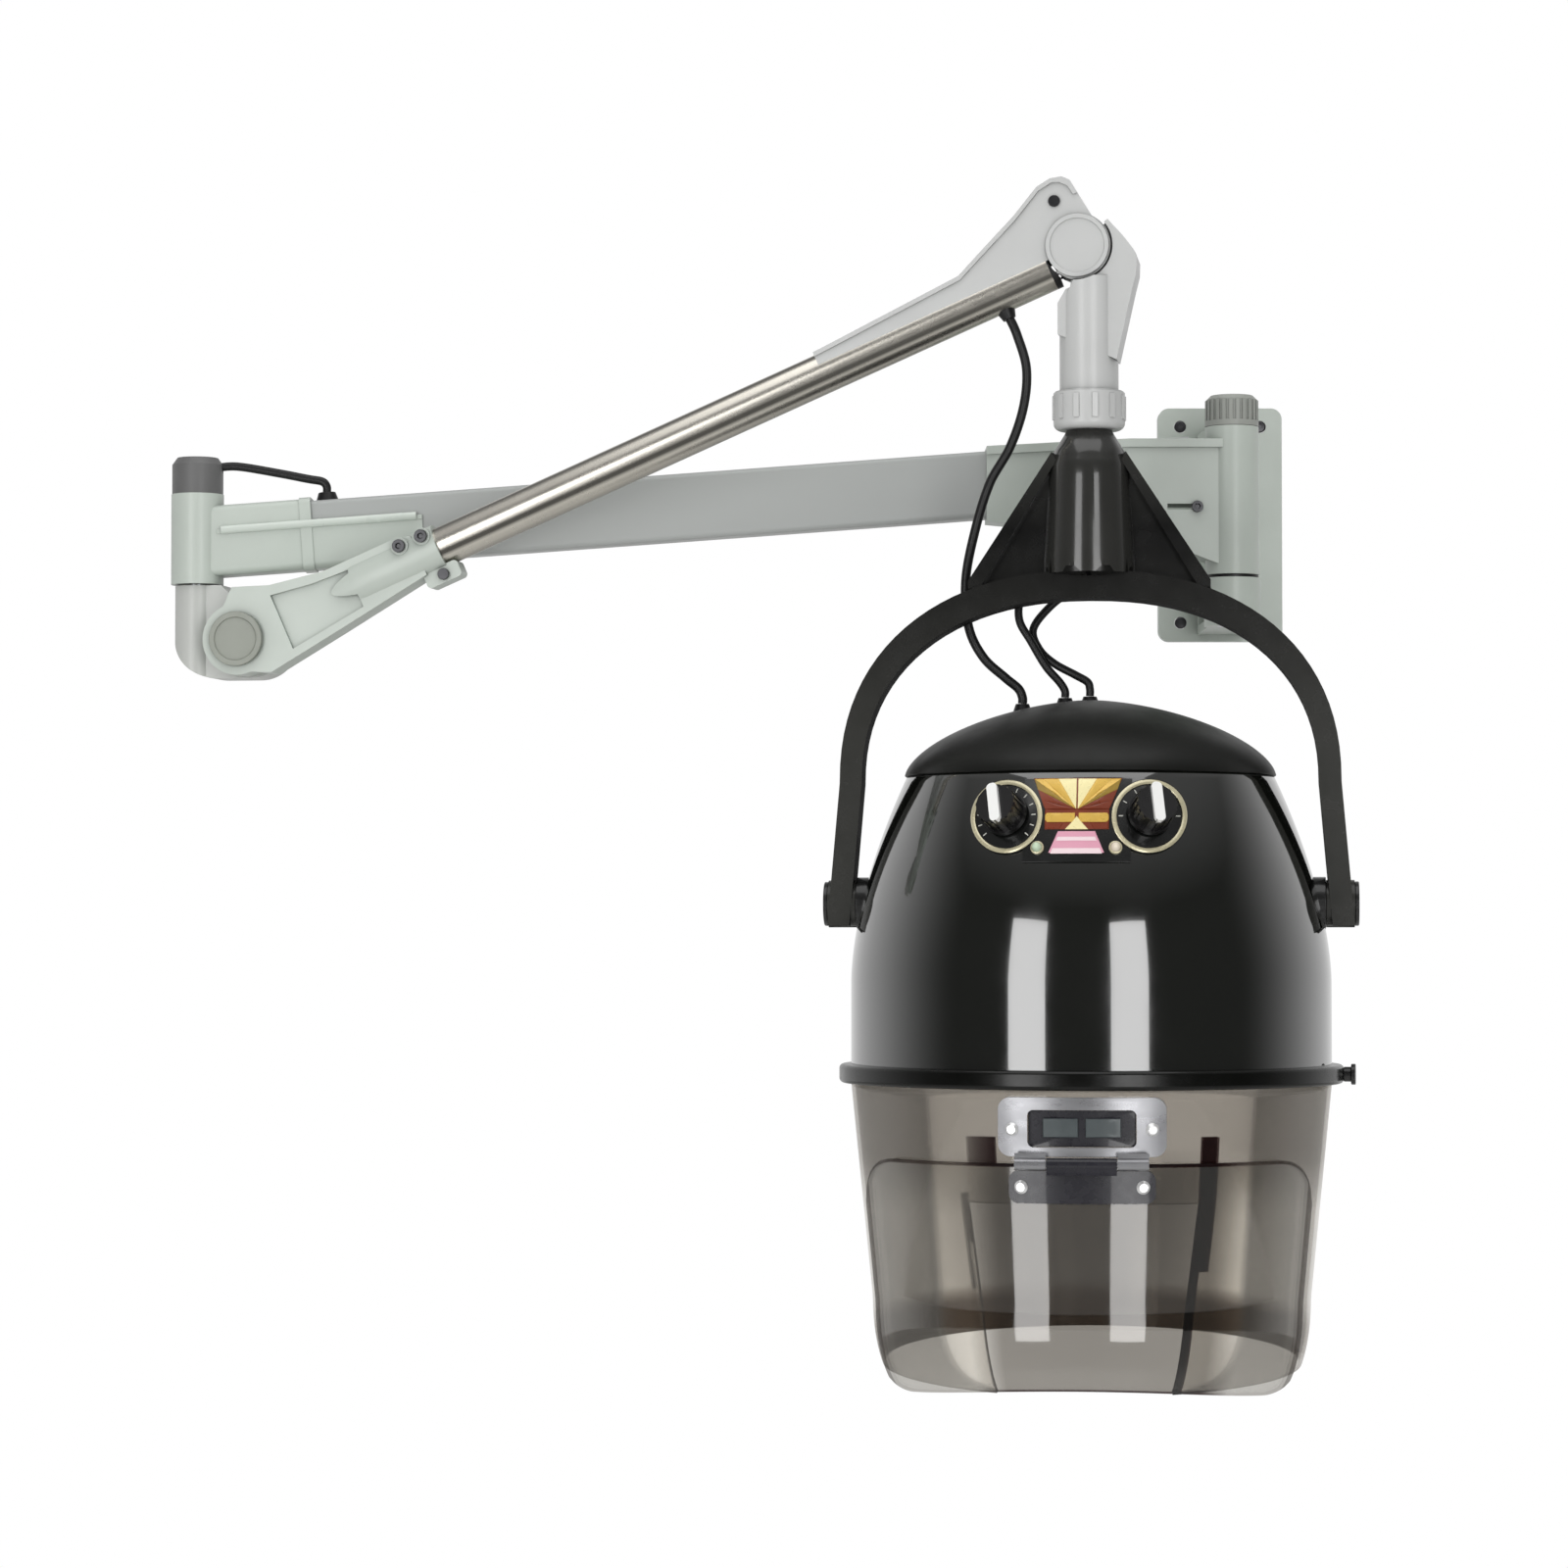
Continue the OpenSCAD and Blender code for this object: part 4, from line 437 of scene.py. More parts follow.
# where the visor clears towards its sides, in radians
SIDE_TURN = (0.46, 0.62)
SIDE_THROUGH, NAPE_SHADE_THROUGH, BELT_THROUGH, RIM_SHADE_THROUGH = [tint(c, k) for c, k in (
    ((1.0, 0.985, 0.955), 0.98), ((1.0, 0.965, 0.925), 0.45), ((1.0, 0.975, 0.94), 0.76),
    ((1.0, 0.86, 0.74), 0.3))]
# the largest share of gloss, at the edges of the form
EDGE_SHARE = 0.5


def smoked(name, through, body, cover, rough, is_skirt=False, ior=4.2, coat=1.0):
    """Thin smoked plastic: tinted see-through, with a gloss skin whose share grows at the edges of the form."""
    t = Tree(bpy.data.materials.new(name))
    cloud = t.ranged(t.noise(7.0, 3.0, 0.5), 0.0, 1.0)
    colour = t.mix(cloud, tint(through, 0.97), tint(through, 1.03))
    place = t.node("SeparateXYZ", Vector=t.at()).outputs
    y = t.math("SUBTRACT", place["Y"], AXIS.y * MM)
    if is_skirt:
        above_rim = t.math("SUBTRACT", t.math("SUBTRACT", place["Z"], RIM_PLANE_Z),
                           t.math("MULTIPLY", y, RIM_RISE))
        # painted shade: the back of the skirt darkens over the nape and in a band above the rim
        rim_shade = t.math("MULTIPLY", t.ranged(above_rim, 1.0, 0.0, *BAND_H), t.ranged(y, 0.0, 1.0, *BAND_Y))
        colour = t.mix(t.ranged(y, 0.0, 1.0, *NAPE_Y), colour, NAPE_SHADE_THROUGH)
        colour = t.mix(t.ranged(place["Z"], 0.0, 1.0, *BELT_Z), colour, BELT_THROUGH)
        colour = t.mix(rim_shade, colour, RIM_SHADE_THROUGH)
    else:
        # darkest before the face
        x = t.math("SUBTRACT", place["X"], AXIS.x * MM)
        turn = t.math("ABSOLUTE", t.math("ARCTAN2", x, t.math("SUBTRACT", 0.0, y)))
        colour = t.mix(t.ranged(turn, 0.0, 1.0, *SIDE_TURN), colour, SIDE_THROUGH)
    see = t.node("BsdfTransparent", Color=colour).outputs[0]
    gloss = t.node("BsdfPrincipled", Base_Color=t.mix(cloud, tint(body, 0.92), tint(body, 1.08)), IOR=ior,
                   Coat_Weight=coat, Coat_Roughness=0.03, Coat_IOR=2.0,
                   Roughness=t.ranged(t.noise(30.0, 3.0, 0.5), rough - 0.02, rough + 0.03),
                   Normal=t.bump(t.noise(26.0, 2.0, 0.4), 0.02, 0.0006)).outputs[0]
    edge = t.node("LayerWeight", Blend=0.3).outputs["Fresnel"]
    share = t.ranged(edge, cover, EDGE_SHARE, 0.0, 1.0)
    return t.surface(t.node("MixShader", Fac=share, i1=see, i2=gloss).outputs[0])


M["smoke"] = smoked("smoke_clear", (0.57, 0.55, 0.52), rgb(34, 32, 28), 0.15, 0.05)
M["smoke_skirt"] = smoked("smoke_skirt", (0.97, 0.955, 0.93), rgb(84, 80, 73), 0.04, 0.05, is_skirt=True)
M["smoke_edge"] = smoked("smoke_edge", (0.14, 0.08, 0.08), rgb(34, 20, 20), 0.5, 0.3, ior=1.3, coat=0.0)

for ob in cords:
    ob.data.materials.append(M["rubber"])


# ---------------------------------------------------- CAD nodes with softened edges
# edges sharper than this are rounded, and faces flatter than this are joined, in degrees
ROUND_ANGLE, FLAT_ANGLE = 32, 0.4
# points nearer than this are one, in metres
WELD = 2e-6


def formed(node, material, slot, width, segments):
    """The node's own form with its edges rounded by a width in mm, in place of the CAD node."""
    me = nodes[node].data.copy()
    for a in [a.name for a in me.attributes if a.name in ("custom_normal", "sharp_edge", "sharp_face")]:
        me.attributes.remove(me.attributes[a])
    bm = bmesh.new()
    bm.from_mesh(me)
    bmesh.ops.remove_doubles(bm, verts=bm.verts, dist=WELD)
    bmesh.ops.dissolve_limit(bm, angle_limit=math.radians(FLAT_ANGLE), verts=bm.verts, edges=bm.edges)
    bmesh.ops.recalc_face_normals(bm, faces=bm.faces)
    bm.to_mesh(me)
    bm.free()
    ob = add_object(node + "_form", me)
    smooth_edges(ob, ROUND_ANGLE)
    if width:
        bevel = ob.modifiers.new("round", "BEVEL")
        bevel.width = width * MM
        bevel.segments = segments
        bevel.limit_method = "ANGLE"
        bevel.angle_limit = math.radians(ROUND_ANGLE)
        bevel.harden_normals = True
        bevel.use_clamp_overlap = True
    ob.data.materials.clear()
    ob.data.materials.append(M[material])
    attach(ob, nodes[node]["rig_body"])
    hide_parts(node)
    return ob


# node, finish, slot, width of the rounding and its segments
FORMS = [
    ("wall_plate", "casting", "casting_paint", 1.4, 3),
    ("wall_pin_cap", "cap_ribbed", "cap_grey", 0.4, 2),
    ("wall_sleeve", "casting", "casting_paint", 1.3, 3),
    ("clamp_screw", "screw", "screw_steel", 0.25, 2),
    ("arm_tube", "arm", "arm_paint", 0.3, 2),
    ("elbow_casting", "casting", "casting_paint", 0.9, 3),
    ("elbow_cap", "cap_grey", "cap_grey", 0.8, 3),
    ("loop_grommet", "rubber", "black_rubber", 0.5, 2),
    ("knuckle", "knuckle", "knuckle_paint", 1.4, 3),
    ("lower_casting", "casting", "casting_paint", 1.2, 3),
    ("fore_tube", "chrome", "tube_chrome", 0, 1),
    ("upper_fork", "pale", "pale_paint", 0.7, 3),
    ("lift_bolt", "pivot", "casting_paint", 0.7, 3),
    ("head_bolt", "pale", "pale_paint", 0.6, 3),
    ("spacer_rivet", "screw", "screw_steel", 0.4, 2),
    ("socket_screws", "screw", "screw_steel", 0.4, 2),
    ("cord_grommet", "rubber", "black_rubber", 0.5, 2),
    ("tube_end_plug", "rubber", "black_rubber", 0.4, 2),
    ("head_casting", "pale", "pale_paint", 1.6, 3),
    ("head_collar", "pale", "pale_paint", 0.8, 3),
    ("yoke_hoop", "yoke", "yoke_black", 1.5, 3),
    ("yoke_end_caps", "end_cap", "end_cap_black", 0.8, 3),
    ("side_pivots", "end_cap", "end_cap_black", 0.5, 2),
    ("cord_glands", "rubber", "black_rubber", 0.5, 2),
    ("control_panel", "panel", "panel_black", 0.3, 2),
    ("hinge_upper_leaf", "hinge", "hinge_metal", 0.6, 3),
    ("hinge_screws", "bright", "hinge_metal", 0.3, 2),
    ("timer_knob", "knob", "panel_black", 0.35, 2),
    ("heat_knob", "knob", "panel_black", 0.35, 2),
    ("flange_latch", "end_cap", "end_cap_black", 0.5, 2),
]
made = {form[0]: formed(*form) for form in FORMS}

# the tube's walls are shaded as the true cylinders they are
tube = made["fore_tube"].data
round_normals = []
for face in tube.polygons:
    for corner in face.loop_indices:
        p = tube.vertices[tube.loops[corner].vertex_index].co - TUBE_AT
        away = (p - p.dot(TUBE_ALONG) * TUBE_ALONG).normalized()
        side = away.dot(face.normal)
        round_normals.append(math.copysign(1, side) * away if abs(side) > 0.8 else face.normal)
tube.normals_split_custom_set([tuple(n) for n in round_normals])


def paint(ob, material, space, test, facing=lambda n: True):
    """Gives the faces whose middle and normal pass the tests, in a space in mm, another finish."""
    ob.data.materials.append(M[material])
    back = space.inverted()
    for face in ob.data.polygons:
        if test(back @ face.center) and facing((back.to_3x3() @ face.normal).normalized()):
            face.material_index = len(ob.data.materials) - 1


# ----------------------------------------------------------- the hood's lathed skins
RIM_Z, CAP_Z, BELLY_Z, FLANGE_Z0, SKIRT_Z0 = -108, 86, -53, -120.6, -316.6
SKIN, HOOD_R, SHOULDER_R, CAP_R, CAP_H, CLEAR = 3, 162, 124, 125.5, 52, 2.5


# above the belly the shell draws in to the shoulder by a power of the height
SHELL_IN, SHELL_RISE, SHELL_POWER = HOOD_R - SHOULDER_R, CAP_Z - BELLY_Z, 1.7
# the skirt tapers over a height by a depth, and then turns in over a height by a depth
TAPER_H, TAPER_IN, TURN_H, TURN_IN = 144, 14.5, 60, 20
DOME_POWER = 2 / 1.65


def shell_at(z):
    """The shell's radius at a height."""
    return HOOD_R if z < BELLY_Z else HOOD_R - SHELL_IN * ((z - BELLY_Z) / SHELL_RISE) ** SHELL_POWER


def bend(past, span, depth):
    """How deep a quarter ellipse has bent at a distance past its start."""
    return depth * (1 - math.sqrt(max(0.0, 1 - (past / span) ** 2))) if past > 0 else 0


def skirt_at(z):
    """The skirt's outer radius at a height."""
    t = FLANGE_Z0 - z
    return HOOD_R - TAPER_IN * min(t, TAPER_H) / TAPER_H - bend(t - TAPER_H, TURN_H, TURN_IN)


def dome(r, h, first, last, n):
    """Points of the cap's line, between two angles in degrees up from its rim."""
    out = []
    for i in range(n + 1):
        t = math.radians(first + (last - first) * i / n)
        out.append((r * max(0.0, math.cos(t)) ** DOME_POWER, h * math.sin(t) ** DOME_POWER + CAP_Z))
    return out


# a radius smaller than this is a point on the axis
ON_AXIS = 1e-6
LATHE_STEPS = 192


def lathe(name, profile):
    """A solid of revolution about the hood's axis, from a closed line of radius and height."""
    bm = bmesh.new()
    columns = []
    for k in range(LATHE_STEPS):
        a = 2 * math.pi * k / LATHE_STEPS
        columns.append([None if r < ON_AXIS else bm.verts.new((r * math.sin(a), -r * math.cos(a), z))
                        for r, z in profile])
    poles = {i: bm.verts.new((0, 0, z)) for i, (r, z) in enumerate(profile) if r < ON_AXIS}
    n = len(profile)
    for a, b in zip(columns, columns[1:] + columns[:1]):
        for i in range(n):
            j = (i + 1) % n
            corners = [poles.get(i) or a[i], poles.get(j) or a[j], poles.get(j) or b[j], poles.get(i) or b[i]]
            corners = [c for m, c in enumerate(corners) if c not in corners[:m]]
            if len(corners) > 2:
                bm.faces.new(corners)
    bmesh.ops.transform(bm, matrix=HOOD, verts=bm.verts)
    return from_bmesh(name, bm, 40)


def dress(ob, finishes, slot, body, *replaced):
    """Gives a piece its finishes, its body and the CAD nodes that it stands for. The slot is not used."""
    for key in finishes:
        ob.data.materials.append(M[key])
    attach(ob, body)
    if replaced:
        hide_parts(*replaced)
    return ob


CAP_IN, NECK_R = CAP_R - SKIN, SHOULDER_R - SKIN
cap_line = [
    (CAP_R - 0.6, CAP_Z), (CAP_R, CAP_Z + 0.6), *dome(CAP_R, CAP_H, 3, 90, 60),
    *dome(CAP_IN, CAP_H - SKIN, 90, 3, 40), (CAP_IN, CAP_Z + 2), (NECK_R - 0.1, CAP_Z + 2),
    (NECK_R - 0.1, CAP_Z - 5), (NECK_R - SKIN, CAP_Z - 5), (NECK_R - SKIN, CAP_Z - 4),
    (NECK_R - 1.1, CAP_Z - 4), (NECK_R - 1.1, CAP_Z)]
dress(lathe("cap_dome", cap_line), ["cap"], "cap_charcoal", "hood", "hood_cap")

SHELL_TOP, SHELL_ROWS = CAP_Z - 0.7, 48
heights = [SHELL_TOP - (SHELL_TOP - RIM_Z) * i / SHELL_ROWS for i in range(SHELL_ROWS + 1)]
shell_line = [(NECK_R + 0.5, CAP_Z), (SHOULDER_R - 0.7, CAP_Z), (SHOULDER_R - 0.2, CAP_Z - 0.2)]
shell_line += [(shell_at(z), z) for z in heights] + [(shell_at(z) - SKIN, z) for z in reversed(heights)]
dress(lathe("shell_skin", shell_line), ["shell"], "shell_black", "hood", "hood_shell")

FLANGE_R, FLANGE_TOP, LIP_R = 170, FLANGE_Z0 + 12.6, 3
lip = [(FLANGE_R - LIP_R + LIP_R * math.cos(math.radians(a)), z + LIP_R * math.sin(math.radians(a)))
       for z, first in ((FLANGE_TOP - LIP_R, 90), (FLANGE_Z0 + LIP_R, 0))
       for a in range(first, first - 91, -15)]
flange_line = [
    (HOOD_R - 12, FLANGE_Z0 + 0.5), (HOOD_R - 12, FLANGE_TOP - 0.5), (HOOD_R - 11.5, FLANGE_TOP), *lip,
    (HOOD_R + 2, FLANGE_Z0), (HOOD_R + 1.5, FLANGE_Z0 + 0.5), (HOOD_R + 0.6, FLANGE_Z0 + 0.5),
    (HOOD_R + 0.3, FLANGE_Z0), (HOOD_R - 11.5, FLANGE_Z0)]
dress(lathe("flange_ring", flange_line), ["flange"], "flange_black", "hood", "hood_flange")


def skin_sheet(name, cells, slot, replaced, body, skin, darker):
    """A thin see-through sheet from cells of points, given thickness inwards, with darker cut edges."""
    bm = bmesh.new()
    verts = {}
    for corners in cells:
        face = []
        for c in corners:
            key = tuple(round(v, 4) for v in c)
            if key not in verts:
                verts[key] = bm.verts.new(c)
            face.append(verts[key])
        if len(set(face)) > 2:
            bm.faces.new(list(dict.fromkeys(face)))
    for f in bm.faces:
        c = f.calc_center_median()
        f.material_index = 1 if darker(math.degrees(math.atan2(c.x, -c.y)), c.z) else 0
    bmesh.ops.transform(bm, matrix=HOOD, verts=bm.verts)
    for f in bm.faces:
        out = f.calc_center_median() - HOOD.translation
        out.z = 0
        if f.normal.dot(out) < 0:
            f.normal_flip()
    me = bpy.data.meshes.new(name)
    bm.normal_update()
    bm.to_mesh(me)
    bm.free()
    ob = add_object(name, me)
    smooth_edges(ob, 50)
    solid = ob.modifiers.new("thickness", "SOLIDIFY")
    solid.thickness = CLEAR * MM
    solid.offset = -1
    solid.material_offset_rim = 1
    return dress(ob, [skin, "smoke_edge"], slot, body, replaced)


WINDOW_A, WINDOW_TOP = 29, -194
# below its top each edge of the window comes in by a degree in this height, and the skirt follows up to
# this angle
LEAN_H, LEAN_A = 28, 60


def lean(a, z):
    """The face window's edges come together a little downwards."""
    if not WINDOW_A - 0.1 < a < LEAN_A:
        return a
    return a - max(0.0, WINDOW_TOP - z) / LEAN_H * (LEAN_A - a) / (LEAN_A - WINDOW_A)


def around(a, r, z, leaning=False):
    """A point at angle a (degrees, 0 in front), radius and height, in the hood's own frame."""
    if leaning:
        a = math.copysign(lean(abs(a), z), a)
    return (r * math.sin(math.radians(a)), -r * math.cos(math.radians(a)), z)


def strip(a, b, rows_a, rows_b, out=0, leaning=False):
    """The cells between two angles, each with its own heights, on the skirt or at a distance out from it."""
    left, right = [[around(c, skirt_at(z) + out, z, leaning) for z in rows]
                   for c, rows in ((a, rows_a), (b, rows_b))]
    return [[left[i], right[i], right[i + 1], left[i + 1]] for i in range(len(left) - 1)]


def eased(n):
    """Shares from 0 to 1 in n steps that get smaller towards the end."""
    return [math.sin(math.pi / 2 * k / n) for k in range(n + 1)]


def down(top, low, shares):
    """Heights from a top to a low one."""
    return [top + (low - top) * t for t in shares]


# the outer side of the window's dark edges, of the wider guard right of the hinge, and the stop left of it
EDGE_A, GUARD_A, STOP_A = 31.0, 33.5, (-28.5, -21)
EDGE_TOP_LEFT, EDGE_TOP_RIGHT, GUARD_LOW, STOP_Z = -186, -150, -236, (-171, -151)
angles = sorted({a * 2.5 for a in range(-72, 73)} | {-WINDOW_A, WINDOW_A, -EDGE_A, EDGE_A, GUARD_A, *STOP_A})
UPPER_ROWS, LOWER_ROWS = 12, 30
UPPER = [FLANGE_Z0 - (FLANGE_Z0 - WINDOW_TOP) * i / UPPER_ROWS for i in range(UPPER_ROWS + 1)]
# the skirt's rim: its height at the sides, and its slope down to the front
RIM_SIDE_Z, RIM_SLOPE = SKIRT_Z0 + 8, 0.078125


def rim_at(a):
    """The height of the skirt's rim at an angle."""
    z = RIM_SIDE_Z
    for _ in range(4):
        z = RIM_SIDE_Z - skirt_at(z) * math.cos(math.radians(a)) * RIM_SLOPE
    return z


cells = []
for a, b in zip(angles, angles[1:]):
    cells += strip(a, b, UPPER, UPPER)
    if abs(a + b) / 2 > WINDOW_A:
        rows = [down(WINDOW_TOP, rim_at(c), eased(LOWER_ROWS)) for c in (a, b)]
        cells += strip(a, b, *rows, leaning=True)


def skirt_edge(a, z):
    """The dark edges of the face window, the wider guard right of the hinge, and the stop left of it."""
    if STOP_A[0] < a < STOP_A[1]:
        return STOP_Z[0] < z < STOP_Z[1]
    top = EDGE_TOP_RIGHT if a > 0 else EDGE_TOP_LEFT
    wide = GUARD_A if a > 0 and z > GUARD_LOW else EDGE_A
    return lean(WINDOW_A, z) < abs(a) < lean(wide, z) and z < top


skin_sheet("smoked_skirt", cells, "smoke_clear", "skirt", "hood", "smoke_skirt", skirt_edge)

VISOR_TOP, VISOR_LOW, VISOR_R0, VISOR_A = -168.0, -324.6, 4.5, 68.5
# the rounded corners: the angle where each starts, its span in degrees and its depth in mm
TOP_CORNER, LOW_CORNER = (52, 17, 40), (57, 12, 12)
# seen from the front, the lower rim is a cosine: its depth, its radius, and its turn in degrees for a width
SAG, SAG_R, SAG_TURN, SAG_WIDTH = 10, 132, 15, 21
# the dark edges: from an angle, and a line under the top
VISOR_EDGE_A, VISOR_EDGE_H = 64.6, 1.5
VISOR_COLUMNS, VISOR_ROWS = 40, 40


def corner(b, at, span, depth):
    return bend(b - at, span, depth)


def visor_edges(a):
    """The heights of the visor's upper and lower rim at an angle."""
    b = abs(a)
    x = SAG_R * math.sin(math.radians(b))
    low = VISOR_LOW + SAG * math.cos(math.radians(SAG_TURN * x / SAG_WIDTH))
    return VISOR_TOP - corner(b, *TOP_CORNER), low + corner(b, *LOW_CORNER)


def visor_edge(a, z):
    """The dark edges of the visor's sides and top."""
    return abs(a) > VISOR_EDGE_A or z > visor_edges(a)[0] - VISOR_EDGE_H


cells = []
steps = [VISOR_A * i / VISOR_COLUMNS for i in range(-VISOR_COLUMNS, VISOR_COLUMNS + 1)]
shares = eased(VISOR_ROWS)
shares.insert(1, 0.014)
for a, b in zip(steps, steps[1:]):
    cells += strip(a, b, *[down(*visor_edges(c), shares) for c in (a, b)], out=VISOR_R0)
skin_sheet("smoked_visor", cells, "smoke_clear", "visor", "visor", "smoke", visor_edge)

# CAD nodes that stay as they are, with their finishes
PLAIN = {
    "wall_pivot_pin": "steel", "wall_thrust_washer": "rubber", "wall_bushes": "bush", "elbow_bush": "bush",
    "elbow_pin": "steel", "lift_spring": "spring", "level_link": "steel", "head_bushes": "bush",
    "yoke_spindle": "steel", "inner_bowl": "bowl", "motor": "motor", "motor_plate": "plate",
    "heater": "heater", "fan": "fan",
}
for node, key in PLAIN.items():
    nodes[node].data.materials.clear()
    nodes[node].data.materials.append(M[key])


# ----------------------------------------- control panel: dials, emblem, label and lamps
# the panel's forms are laid out from K, the knobs' height, with X across and Z up as seen from the front
K, PANEL_A, RING_X, RING_R = 56, -1.5, 46.5, 24
KNOB_ANGLES, KNOB_H, LAMP_A, LAMP_Z = (-21, 18), 22, 9.9, K - 21.5
# the longest side of a small plate's faces, and the height of its chamfer
PLATE_STEP, CHAMFER = 5, 0.25
# the black panel's face over the shell, and the foot of the forms on the emblem's backing
FACE, ON_BACKING = 1.85, 2.1
PANEL = HOOD @ Matrix.Rotation(math.radians(PANEL_A), 4, "Z")


def on_shell(a, z):
    """A frame in mm on the shell at an angle and a height, with -Y along the outward normal."""
    slope = SHELL_IN * SHELL_POWER / SHELL_RISE * ((z - BELLY_Z) / SHELL_RISE) ** (SHELL_POWER - 1)
    return (HOOD @ Matrix.Rotation(math.radians(a), 4, "Z") @ Matrix.Translation((0, -shell_at(z), z))
            @ Matrix.Rotation(-math.atan(slope), 4, "X"))


def wrapped(x, z, lift, line=shell_at):
    """The point seen at x and z from the front, at a height over a round skin of the hood."""
    return Vector((x, -math.sqrt((line(z) + lift) ** 2 - x * x), z))


def plate(bm, outline, low, high, slot=0, peak=None, inset=0.4, line=shell_at):
    """A small plate that follows the skin, with a chamfered top edge, and a ridge point where peak is given."""
    pts = []
    for (x0, z0), (x1, z1) in zip(outline, outline[1:] + outline[:1]):
        n = max(1, int(math.hypot(x1 - x0, z1 - z0) / PLATE_STEP))
        pts += [(x0 + (x1 - x0) * i / n, z0 + (z1 - z0) * i / n) for i in range(n)]
    cx, cz = sum(p[0] for p in pts) / len(pts), sum(p[1] for p in pts) / len(pts)
    inner = []
    for x, z in pts:
        d = max(1e-6, math.hypot(cx - x, cz - z))
        inner.append((x + (cx - x) * inset / d, z + (cz - z) * inset / d))
    rows = [[bm.verts.new(wrapped(x, z, h, line)) for x, z in ring]
            for ring, h in ((pts, low), (pts, high - CHAMFER), (inner, high))]
    top = bm.verts.new(wrapped(cx, cz, high if peak is None else peak, line))
    bottom = bm.verts.new(wrapped(cx, cz, low, line))
    n = len(pts)
    faces = []
    for i in range(n):
        j = (i + 1) % n
        faces += [bm.faces.new((a[i], a[j], b[j], b[i])) for a, b in zip(rows, rows[1:])]
        faces += [bm.faces.new((rows[-1][i], rows[-1][j], top)), bm.faces.new((rows[0][j], rows[0][i], bottom))]
    for f in faces:
        f.material_index = slot


def panel_piece(name, bm, finishes, slot, space, *replaced, angle=24):
    """A piece on the hood, from forms in a space in mm."""
    bmesh.ops.transform(bm, matrix=space, verts=bm.verts)
    return dress(from_bmesh(name, bm, angle), finishes, slot, "hood", *replaced)


# the emblem: its backing, a fan of facets, and the bar, foot and middle below
bm = bmesh.new()
plate(bm, [(28.8, K + 24.8), (-28.8, K + 24.8), (-20.8, K + 5), (-20.8, K - 8.8), (20.8, K - 8.8),
           (20.8, K + 5)], FACE, 2.3, 3)
# the fan's outline right of its middle, from K, and the finish of the facet that ends there
FAN = [(0.5, 24.4, 0), (12.5, 24.4, 0), (22.5, 24.4, 1), (28.2, 24.4, 1), (26, 17.5, 2), (23.3, 10.4, 3),
       (21, 4.6, 3)]
for s in (-1, 1):
    for (x0, z0, _), (x1, z1, kind) in zip(FAN, FAN[1:]):
        tip = (s * 0.5, K + 4.4)
        ray = [tip, (s * x0, K + z0), (s * x1, K + z1)]
        plate(bm, ray if s > 0 else ray[::-1], ON_BACKING, 2.75, kind, 3.15, 0.3)
    bar = [(s * 1.2, K + 2), (s * 19.6, K + 2), (s * 20.6, K + 0.6), (s * 20.6, K - 2.6), (s * 19.2, K - 4),
           (s * 1.2, K - 4)]
    plate(bm, bar if s < 0 else bar[::-1], ON_BACKING, 2.8, 1, 3.1)
    foot = [(s * 9, K - 4.8), (s * 20.4, K - 4.8), (s * 20.4, K - 8.4), (s * 11, K - 8.4)]
    plate(bm, foot if s < 0 else foot[::-1], ON_BACKING, 2.6, 3)
plate(bm, [(0, K - 0.2), (-3.6, K - 4.6), (-7.5, K - 8.8), (7.5, K - 8.8), (3.6, K - 4.6)],
      ON_BACKING, 2.95, 0, 3.2)
panel_piece("fan_emblem", bm, ("cream", "gold", "olive", "amber"), "trim_gold", PANEL, "trim_plate")

bm = bmesh.new()
section = [(RING_R - 3, FACE), (RING_R - 3, 2.7), (RING_R - 2.3, 3.05), (RING_R - 1.5, 3.2),
           (RING_R - 0.7, 3.05), (RING_R, 2.7), (RING_R, FACE)]
for s in (-1, 1):
    turns = [math.radians(3 * k) for k in range(120)]
    rows = [[bm.verts.new(wrapped(s * RING_X + r * math.cos(t), K + r * math.sin(t), h)) for r, h in section]
            for t in turns]
    for a, b in zip(rows, rows[1:] + rows[:1]):
        for i in range(len(section)):
            j = (i + 1) % len(section)
            bm.faces.new((a[i], a[j], b[j], b[i]))
panel_piece("dial_rings", bm, ("ring",), "trim_gold", PANEL, angle=50)

# the ticks lie within the rings, over each knob's turn in degrees
TICK_R0, TICK_R1, TICK_HALF = 16.8, 19.6, 0.35
bm = bmesh.new()
for s, span, count in ((-1, 130, 13), (1, 90, 7)):
    for k in range(count):
        t = math.radians(90 - span + 2 * span * k / (count - 1))
        u, v = Vector((math.cos(t), math.sin(t))), Vector((-math.sin(t), math.cos(t)))
        c = Vector((s * RING_X, K))
        ends = [c + u * r + v * w for r, w in ((TICK_R0, -TICK_HALF), (TICK_R1, -TICK_HALF),
                                               (TICK_R1, TICK_HALF), (TICK_R0, TICK_HALF))]
        plate(bm, [tuple(e) for e in ends], 1.75, 1.98, 0, None, 0.05)
panel_piece("dial_ticks", bm, ("tick",), "trim_gold", PANEL)

# the label, wider below, with two bands that widen with it
LABEL_TOP, LABEL_H, LABEL_GROW = K - 10, 14, 6
bm = bmesh.new()
plate(bm, [(12, K - 10), (-12, K - 10), (-18, K - 24), (18, K - 24)], FACE, 2.6)
for z, tall in ((K - 13.6, 2.6), (K - 21, 3.6)):
    reach = 10.6 + LABEL_GROW * (LABEL_TOP - z) / LABEL_H
    wide = reach + LABEL_GROW * tall / LABEL_H
    plate(bm, [(reach, z), (-reach, z), (-wide, z - tall), (wide, z - tall)], 2.5, 2.85, 1)
panel_piece("label_form", bm, ("pink", "blush"), "label_pink", PANEL, "label_plate")


